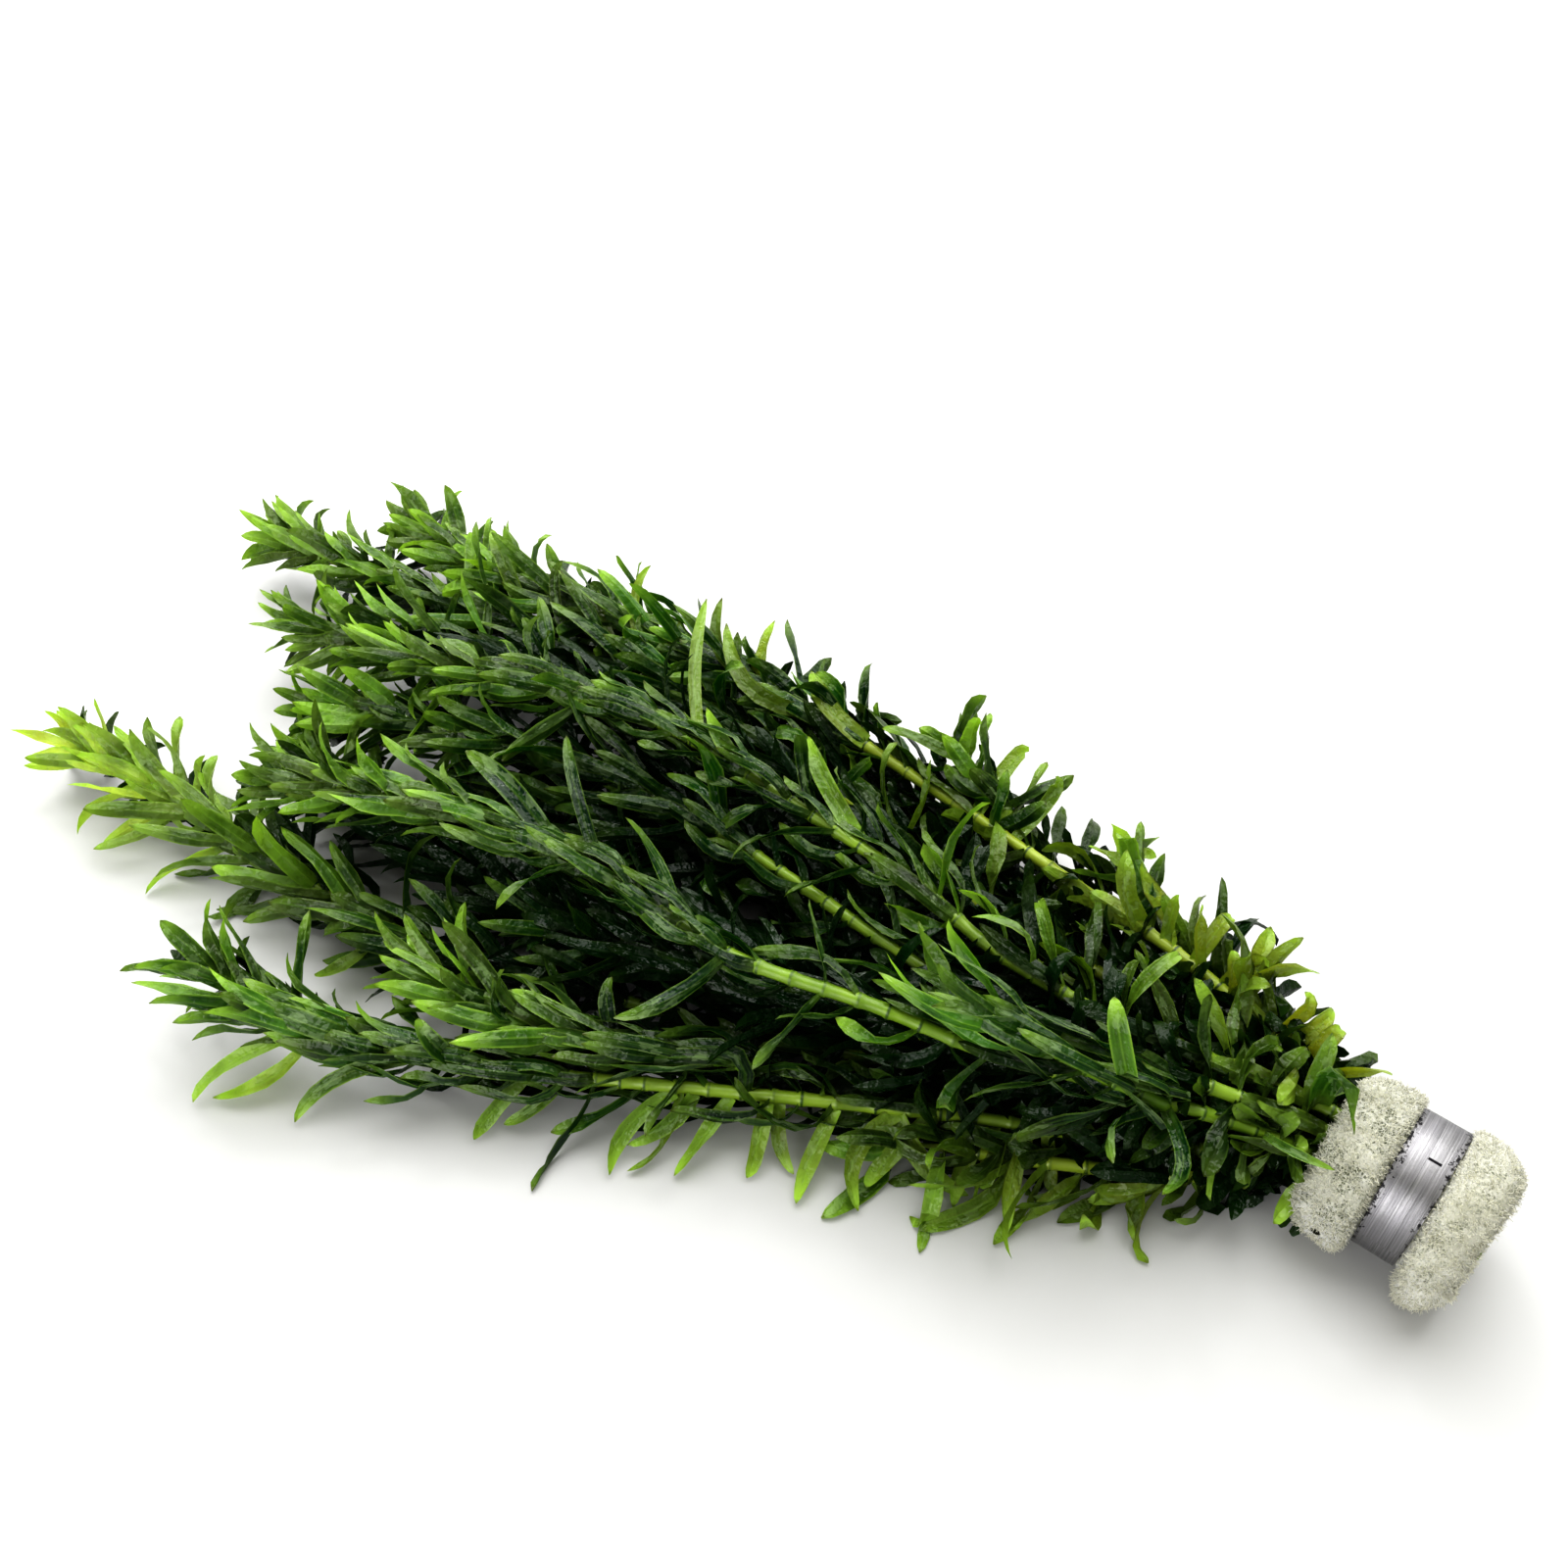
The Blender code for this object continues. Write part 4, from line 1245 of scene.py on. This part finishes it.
def turnSponge():
    # the outline drawn out ring by ring
    outline = sponge["outline"]
    bpy.ops.object.select_all(action="DESELECT")
    bpy.ops.mesh.primitive_circle_add(
        vertices=sponge["sides"], radius=outline[0][1], location=(0, 0, 0))
    item = bpy.context.object
    item.name = item.data.name = "sponge_wrap"
    bpy.ops.object.mode_set(mode="EDIT")
    bpy.ops.mesh.select_all(action="SELECT")
    bpy.ops.transform.translate(value=(0, 0, outline[0][0]))
    for (lastPlace, lastRadius), (place, radius) in zip(outline, outline[1:]):
        bpy.ops.mesh.extrude_edges_move(
            TRANSFORM_OT_translate={"value": (0, 0, place - lastPlace)})
        bpy.ops.transform.resize(
            value=(radius / lastRadius, radius / lastRadius, 1), center_override=(0, 0, place))
    bpy.ops.mesh.select_all(action="SELECT")
    bpy.ops.mesh.normals_make_consistent(inside=False)
    bpy.ops.object.mode_set(mode="OBJECT")
    return item


def settleOrder(item):
    # extruding leaves the points in another order on every run, and random draws go by the order
    points = meshPoints(item)
    order = np.lexsort(points.round(3).T)
    ranks = np.argsort(order)
    faces = []
    for face in item.data.polygons:
        corners = ranks[list(face.vertices)].tolist()
        first = corners.index(min(corners))
        faces.append(corners[first:] + corners[:first])
    item.data.clear_geometry()
    item.data.from_pydata(points[order], [], sorted(faces))


def shapeLobes(item):
    points = meshPoints(item)
    angles = np.arctan2(points[:, 1], points[:, 0])
    radii = np.hypot(points[:, 0], points[:, 1])
    # the lobes sag a little to one side
    sag = sponge["sag"]
    wider = 1 + sag["share"] * np.cos(2 * (angles - sag["angle"])) * (radii > sag["outside"])
    points[:, :2] *= wider[:, None]
    # the end lobe is narrower along its front, outside the hole that holds the stems' ends
    narrow = sponge["narrow"]
    share = narrow["share"] * np.clip(np.cos(angles - narrow["angle"]), 0, 1)
    share *= np.clip((radii - sponge["hole"]["radius"] - narrow["rim"]) / narrow["over"], 0, 1)
    points[:, 2] -= np.maximum(points[:, 2] - narrow["from"], 0) * share
    # the lobes sit towards the front of the band
    aside = np.interp(points[:, 2], *zip(*sponge["shift"]))
    points[:, 0] += aside * math.cos(sponge["shiftAngle"])
    points[:, 1] += aside * math.sin(sponge["shiftAngle"])
    putPoints(item, points)
    rounding = item.modifiers.new("rounding", "SUBSURF")
    rounding.levels = sponge["rounding"]
    bpy.ops.object.modifier_apply(modifier="rounding")


def addLumps(item):
    before = meshPoints(item)
    for size, height in sponge["lumps"]:
        lumps = bpy.data.textures.new("lumps", "CLOUDS")
        lumps.noise_scale = size
        lumps.noise_depth = 1
        applyDisplace(item, lumps, height)
    # under the lead the sponge is bound tight, so it has no lumps there
    bound = sponge["bound"]
    points = meshPoints(item)
    free = np.clip((np.abs(points[:, 2]) - bound["half"]) / bound["over"], 0, 1)[:, None]
    putPoints(item, before * (1 - free) + points * free)


def addPores(item, smooth):
    pore = sponge["pore"]
    pores = bpy.data.textures.new("pores", "VORONOI")
    pores.noise_scale = pore["size"]
    pores.weight_1 = -1.0
    pores.weight_2 = 1.0
    pores.noise_intensity = pore["strength"]
    applyDisplace(item, pores, -pore["depth"], middle=0.0)
    porous = meshPoints(item)
    depth = np.linalg.norm(porous - smooth, axis=1) / pore["depth"]
    porous += np.random.default_rng(pore["seed"]).normal(0, pore["jitter"], porous.shape)
    porous[:, 2] = np.maximum(porous[:, 2], sponge["floor"]["pores"])
    putPoints(item, porous)
    attribute = item.data.attributes.new("pore", "FLOAT", "POINT")
    attribute.data.foreach_set("value", np.clip(depth, 0, 1))


def joinHole(item):
    # the hole that the stems sit in
    hole = sponge["hole"]
    bpy.ops.object.mode_set(mode="EDIT")
    bpy.ops.mesh.select_mode(type="EDGE")
    bpy.ops.mesh.select_all(action="DESELECT")
    bpy.ops.mesh.select_non_manifold()
    bpy.ops.mesh.bridge_edge_loops(number_cuts=hole["cuts"], smoothness=0)
    bpy.ops.mesh.select_all(action="SELECT")
    bpy.ops.mesh.normals_make_consistent(inside=False)
    bpy.ops.object.mode_set(mode="OBJECT")
    points = meshPoints(item)
    _, axial, radial = collarParts(points)
    radius = np.linalg.norm(radial, axis=1)
    inside = (radius < hole["within"]) & (np.abs(axial) < hole["half"])
    radial[inside] *= (hole["radius"] / radius[inside])[:, None]
    level = radial + axial[:, None] * np.array(collarAlong)
    points[inside] = level[inside] + np.array(collarMiddle)
    putPoints(item, points)


def buildSponge():
    item = turnSponge()
    settleOrder(item)
    shapeLobes(item)
    addLumps(item)
    item.data.transform(collarFrame)
    smooth = meshPoints(item)
    smooth[:, 2] = np.maximum(smooth[:, 2], sponge["floor"]["skin"])
    putPoints(item, smooth)
    addPores(item, smooth)
    joinHole(item)
    item.data.transform(Matrix.Scale(mm, 4))
    item.data.shade_smooth()
    item.data.materials.append(spongeMaterial())
    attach(item, "root")
    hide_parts("foam_wrap")
    return smooth


# The cut cell walls that stand out of the sponge's skin, in mm. Each has three rings of three
# corners: its root in the skin, its elbow and its end
fibre = {
    "seed": 23,
    "count": 11000,
    "offBand": 4.0,  # they keep off the band, the hole, the table and the speck of dirt
    "offHole": 8.5,
    "offTable": 0.6,
    "offSpeck": 1.0,
    "lobe": {"along": 8.3, "radius": 9.5},  # the middle of a lobe, which they point away from
    "outwards": 0.6,
    "stray": 0.8,
    "length": (0.35, 0.8),
    "half": 0.6,
    "root": 0.3,
    "lowest": 0.1,
    "radius": 0.065,
    "taper": (1.3, 1.0, 0.6),
}


def buildFibres(surface):
    chance = np.random.default_rng(fibre["seed"])
    picked = surface[chance.integers(0, len(surface), fibre["count"] * 2)]
    local, axial, radial = collarParts(picked)
    radius = np.linalg.norm(radial, axis=1)
    speck = np.linalg.norm(picked - np.array(speckPlace), axis=1)
    keep = ((np.abs(axial) > fibre["offBand"]) & (radius > fibre["offHole"])
            & (picked[:, 2] > fibre["offTable"]) & (speck > fibre["offSpeck"]))
    picked = picked[keep][:fibre["count"]]
    count = len(picked)
    local, axial, radial = local[keep][:count], axial[keep][:count], radial[keep][:count]
    lobe = np.sign(axial)[:, None] * fibre["lobe"]["along"] * np.array(collarAlong)
    outward = unit(local - (lobe + unit(radial) * fibre["lobe"]["radius"]))
    lean = unit(outward * fibre["outwards"] + chance.normal(0, fibre["stray"], (count, 3)))
    length = chance.uniform(*fibre["length"], (count, 1))
    middle = picked + lean * length * fibre["half"]
    bent = unit(lean + chance.normal(0, fibre["stray"], (count, 3)))
    end = middle + bent * length * fibre["half"]
    start = picked - outward * fibre["root"]
    for spots in (middle, end):
        spots[:, 2] = np.maximum(spots[:, 2], fibre["lowest"])
    arm = unit(np.cross(lean, chance.normal(0, 1, (count, 3)))) * fibre["radius"]
    other = unit(np.cross(lean, arm)) * fibre["radius"]
    rings = []
    for spots, size in zip((start, middle, end), fibre["taper"]):
        for turn in (0, math.tau / 3, 2 * math.tau / 3):
            rings.append(spots + (arm * math.cos(turn) + other * math.sin(turn)) * size)
    points = np.stack(rings, 1).reshape(-1, 3)
    pattern = [(0, 2, 1), (6, 7, 8)]
    for row in (0, 3):
        for column in range(3):
            after = (column + 1) % 3
            pattern.append((row + column, row + after, row + 3 + after, row + 3 + column))
    faces = [tuple(first + corner for corner in face)
             for first in range(0, count * len(rings), len(rings)) for face in pattern]
    mesh = bpy.data.meshes.new("sponge_fibres")
    mesh.from_pydata(points * mm, [], faces)
    mesh.materials.append(fibreMaterial())
    mesh.shade_smooth()
    item = linkPiece("sponge_fibres", mesh)
    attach(item, "root")


# The lead strip: mm and degrees. It climbs onto its own start over the lap
lead = {
    "width": 7.2,
    "thickness": 0.5,
    "inner": 10.95,
    "steps": 96,
    "start": 285,
    "lap": 24,
    "lift": 0.62,
    "climb": 1.6,  # laps that the climb takes
    "sliver": 0.02,  # the first slice of the strip, which the rest is drawn from
    "wander": {"seed": 4, "kept": 0.8, "step": 0.02, "share": 0.4},
    "edge": {"width": 0.09, "segments": 2, "angle": 50},
    "taper": {"share": 0.08, "angle": 36.5},
    "smooth": 35,
    "slit": {"along": 0.9, "angle": 101, "length": 1.8, "height": 0.32, "deep": 1.6},
}


def leadLift(turned):
    # how far the strip has climbed after this many degrees
    left = (turned - 360 + 2 * lead["lap"]) / (lead["climb"] * lead["lap"])
    climb = min(max(left, 0), 1)
    return lead["lift"] * climb * climb * (3 - 2 * climb)


def buildLead():
    turn = math.radians((360 + lead["lap"]) / lead["steps"])
    bpy.ops.object.select_all(action="DESELECT")
    bpy.ops.mesh.primitive_cube_add(size=1, location=(0, 0, 0))
    item = bpy.context.object
    item.name = item.data.name = "lead_band"
    bpy.ops.object.mode_set(mode="EDIT")
    bpy.ops.transform.resize(
        value=(lead["thickness"], lead["sliver"], lead["width"]), center_override=(0, 0, 0))
    bpy.ops.transform.translate(value=(lead["inner"] + lead["thickness"] / 2, 0, 0))
    bpy.ops.mesh.select_all(action="SELECT")
    bpy.ops.mesh.bisect(plane_co=(0, 0, 0), plane_no=(0, 0, 1))
    bpy.ops.mesh.select_all(action="DESELECT")
    bpy.ops.object.mode_set(mode="OBJECT")
    # the end that looks along y is the one to draw out
    for face in item.data.polygons:
        face.select = face.normal.y > 0.5
    bpy.ops.object.mode_set(mode="EDIT")
    bpy.ops.mesh.select_mode(type="FACE")
    # wound round the axis step by step, wandering a little to either side
    wander = lead["wander"]
    chance = np.random.default_rng(wander["seed"])
    aside = 0.0
    for step in range(lead["steps"]):
        bpy.ops.mesh.extrude_region_move(TRANSFORM_OT_translate={"value": (0, 0, 0)})
        bpy.ops.transform.rotate(value=turn, orient_axis="Z", center_override=(0, 0, 0))
        aside = wander["kept"] * aside + chance.normal(0, wander["step"])
        bpy.ops.transform.translate(value=(0, 0, aside * wander["share"]))
        turned = (step + 1) * math.degrees(turn)
        lifted = leadLift(turned) - leadLift(turned - math.degrees(turn))
        if lifted:
            heading = math.radians(turned)
            bpy.ops.transform.translate(
                value=(math.cos(heading) * lifted, math.sin(heading) * lifted, 0))
    bpy.ops.mesh.select_all(action="SELECT")
    bpy.ops.transform.rotate(
        value=math.radians(lead["start"]), orient_axis="Z", center_override=(0, 0, 0))
    bpy.ops.mesh.normals_make_consistent(inside=False)
    bpy.ops.object.mode_set(mode="OBJECT")
    edge = item.modifiers.new("edge", "BEVEL")
    edge.width = lead["edge"]["width"]
    edge.segments = lead["edge"]["segments"]
    edge.limit_method = "ANGLE"
    edge.angle_limit = math.radians(lead["edge"]["angle"])
    bpy.ops.object.modifier_apply(modifier="edge")
    # the strip is a little wider at its upper end
    points = meshPoints(item)
    heading = np.arctan2(points[:, 1], points[:, 0])
    taper = lead["taper"]
    points[:, 2] *= 1 + taper["share"] * np.cos(heading - math.radians(taper["angle"]))
    putPoints(item, points)
    cutSlit(item)
    writeBandPlace(item)
    item.data.transform(collarFrame)
    item.data.transform(Matrix.Scale(mm, 4))
    bpy.ops.object.shade_smooth_by_angle(angle=math.radians(lead["smooth"]))
    item.data.materials.append(leadMaterial())
    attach(item, "root")
    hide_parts("lead_strip")


def cutSlit(item):
    slit = lead["slit"]
    bpy.ops.mesh.primitive_cube_add(size=1, location=(0, 0, 0))
    cutter = bpy.context.object
    bpy.ops.object.mode_set(mode="EDIT")
    bpy.ops.transform.resize(
        value=(slit["deep"], slit["height"], slit["length"]), center_override=(0, 0, 0))
    bpy.ops.transform.translate(value=(lead["inner"] + lead["thickness"], 0, slit["along"]))
    bpy.ops.transform.rotate(
        value=math.radians(slit["angle"]), orient_axis="Z", center_override=(0, 0, 0))
    bpy.ops.object.mode_set(mode="OBJECT")
    takeUp(item)
    cut = item.modifiers.new("cut", "BOOLEAN")
    cut.object = cutter
    cut.operation = "DIFFERENCE"
    cut.solver = "EXACT"
    bpy.ops.object.modifier_apply(modifier="cut")
    bpy.data.objects.remove(cutter)


def writeBandPlace(item):
    # u runs round the strip in mm, v across it from 0 to 1
    mesh = item.data
    layer = mesh.uv_layers.new(name="band")
    for face in mesh.polygons:
        places = [mesh.vertices[corner].co for corner in face.vertices]
        angles = [math.atan2(place.y, place.x) for place in places]
        if max(angles) - min(angles) > math.pi:
            angles = [angle + math.tau if angle < 0 else angle for angle in angles]
        for corner, place, angle in zip(face.loop_indices, places, angles):
            layer.data[corner].uv = (angle * lead["inner"], place.z / lead["width"] + 0.5)


spongeLook = {
    "walls": ("#e8e7dc", "#c9c8ba"),
    "lowWalls": "#fffef8",  # lit from the table
    # painted shade inside the pores
    "pores": "#767a68",
    "dirt": "#1c1e12",
    "cells": 2500.0,  # in a metre
    "cellBend": (0.0005, 0.0005, 0.0005),
    "wallEdge": (0.03, 0.14),
    "openAlong": (0.008, 1.35, 0.72),  # metres either way, and how open at the mouth and the end
    "openPatches": (0.35, 1.3),
    "lowHeights": (0.004, 0.02),
    "rough": 0.7,
    "glow": 0.3,
}


def spongeMaterial():
    # cream open-cell sponge, cut from a sheet: bright cell walls over pores painted grey-green for
    # the shade in them
    look = spongeLook
    material = newMaterial("openCellSponge")
    node, mixed, noise, mapped, maths, bump, _ = nodeTools(material)
    pore = node("Attribute", attribute_name="pore")["Fac"]
    spot = node("TexCoord")["Object"]
    _, _, level = node("SeparateXYZ", {"Vector": spot})
    # the cells, bent out of their even shape by a fine noise
    wobble = node("TexNoise", {"Vector": spot, "Scale": 1500.0, "Detail": 2.0})["Color"]
    moved = node("VectorMath", {0: wobble, 1: look["cellBend"]}, operation="MULTIPLY")
    bent = node("VectorMath", {0: spot, 1: moved["Vector"]}, operation="ADD")["Vector"]
    cells = node("TexVoronoi", {"Vector": bent, "Scale": look["cells"]})["Color"]
    walls = node("TexVoronoi", {
        "Vector": bent, "Scale": look["cells"]}, feature="DISTANCE_TO_EDGE")["Distance"]
    # painted shade: a cell is darkened between its walls, and every cell lies open by a different
    # amount, which sets how dark
    share, _, _ = node("SeparateColor", {"Color": cells})
    middle = collarMiddle.dot(collarAlong) * mm
    reach, atMouth, atEnd = look["openAlong"]
    axial = node("VectorMath", {0: spot, 1: collarAlong}, operation="DOT_PRODUCT")["Value"]
    mouthSide = mapped(axial, middle - reach, middle + reach, atMouth, atEnd)
    patchy = mapped(noise(spot, 260.0), 0.38, 0.62, *look["openPatches"])
    opened = mapped(share, 0.05, 1.0, 0.05, maths("MULTIPLY", mouthSide, patchy))
    dark = mapped(mapped(walls, *look["wallEdge"], 0.0, 1.0), 0.0, 1.0, 0.0, opened)
    # the deepest pores of the mesh take painted shade as well
    depth = maths("MAXIMUM", dark, mapped(pore, 0.7, 1.0, 0.0, 0.35))
    # near the table walls and pores are filled with the light that it throws back
    wall = mixed(noise(spot, 150.0, 3.0), *look["walls"])
    wall = mixed(mapped(level, *look["lowHeights"], 0.9, 0.0), wall, look["lowWalls"])
    paintedPoreShade = maths("MULTIPLY", depth, mapped(level, *look["lowHeights"], 0.45, 1.0))
    # painted shade in the pores, less near the table
    colour = mixed(paintedPoreShade, wall, look["pores"])
    # one crumb of dirt low on the mouth lobe
    crumb = node("VectorMath", {0: bent, 1: speckPlace * mm}, operation="DISTANCE")["Value"]
    colour = mixed(mapped(crumb, 0.0007, 0.0009, 1.0, 0.0), colour, look["dirt"])
    body = node("BsdfPrincipled", {
        "Base Color": colour,
        "Roughness": look["rough"],
        "Specular IOR Level": 0.25,
        "Subsurface Weight": 0.85,
        "Subsurface Radius": (1.0, 1.0, 0.85),
        "Subsurface Scale": 0.0065,
        "Normal": bump(maths("SUBTRACT", 0.0, dark), 0.8, 0.0002),
    })["BSDF"]
    glow = node("BsdfTranslucent", {"Color": colour})["BSDF"]
    shader = node("MixShader", {"Fac": look["glow"], 1: body, 2: glow})
    return finishMaterial(material, shader["Shader"])


fibreLook = {"walls": ("#fbfaf2", "#e4e3d6"), "rough": 0.4, "glow": 0.6}


def fibreMaterial():
    # the cut ends of the cell walls, clear enough for light to pass
    look = fibreLook
    material = newMaterial("cutCellWalls")
    node, mixed, noise, *_ = nodeTools(material)
    colour = mixed(noise(node("TexCoord")["Object"], 900.0), *look["walls"])
    body = node("BsdfPrincipled", {"Base Color": colour, "Roughness": look["rough"]})["BSDF"]
    glow = node("BsdfTranslucent", {"Color": colour})["BSDF"]
    shader = node("MixShader", {"Fac": look["glow"], 1: body, 2: glow})
    return finishMaterial(material, shader["Shader"])


leadLook = {
    "lines": ((0.32, "#545356"), (0.5, "#828183"), (0.68, "#a6a5a7")),
    "lineScale": (0.03, 26.0, 1.0),
    "cloud": "#86848a",
    "cloudScale": (0.16, 5.0, 1.0),
    # the colour of the pits, and the painted shade inside the slit
    "pits": "#1e1d20",
    "rough": (0.31, 0.43),
}


def leadMaterial():
    # rolled lead strip: dull grey with a trace of violet, drawn lines round it, dark pitted edges
    look = leadLook
    material = newMaterial("rolledLead")
    node, mixed, noise, mapped, maths, bump, ramp = nodeTools(material)
    uv = node("UVMap", uv_map="band")["UV"]
    u, v, _ = node("SeparateXYZ", {"Vector": uv})
    lineMap = node("Mapping", {"Vector": uv, "Scale": look["lineScale"]})["Vector"]
    lines = noise(lineMap, 1.0, 5.0, 0.72)
    cloudMap = node("Mapping", {"Vector": uv, "Scale": look["cloudScale"]})["Vector"]
    cloud = noise(cloudMap, 1.0, 4.0)
    dusty = mapped(cloud, 0.35, 0.7, 0.0, 0.45)
    colour = mixed(dusty, ramp(lines, *look["lines"]), look["cloud"])
    # dark pits, more of them towards both edges
    away = maths("ABSOLUTE", maths("SUBTRACT", v, 0.5))
    pitNoise = noise(node("TexCoord")["Object"], 1500.0, 3.0, 0.6)
    pits = mapped(maths("ADD", pitNoise, mapped(away, 0.3, 0.52, 0.0, 0.3)), 0.73, 0.8, 0.0, 0.92)
    # painted shade: the slit is painted black, for the shade inside it
    slit = lead["slit"]
    high, long = slit["height"], slit["length"] / lead["width"]
    aroundStrip = maths("SUBTRACT", u, math.radians(slit["angle"]) * lead["inner"])
    acrossStrip = maths("SUBTRACT", v, slit["along"] / lead["width"] + 0.5)
    inHeight = mapped(maths("ABSOLUTE", aroundStrip), high * 0.5, high * 0.7, 1.0, 0.0)
    inLength = mapped(maths("ABSOLUTE", acrossStrip), long * 0.5, long * 0.58, 1.0, 0.0)
    # the pits and the slit's painted shade together
    pitsAndSlitShade = maths("MAXIMUM", pits, maths("MULTIPLY", inHeight, inLength))
    shader = node("BsdfPrincipled", {
        "Base Color": mixed(pitsAndSlitShade, colour, look["pits"]),
        "Metallic": 1.0,
        "Roughness": mapped(cloud, 0.3, 0.7, *look["rough"]),
        "Normal": bump(maths("SUBTRACT", lines, pitsAndSlitShade), 0.6, 0.00012),
    })
    return finishMaterial(material, shader["BSDF"])


buildFibres(buildSponge())
buildLead()
print("sponge and lead made")
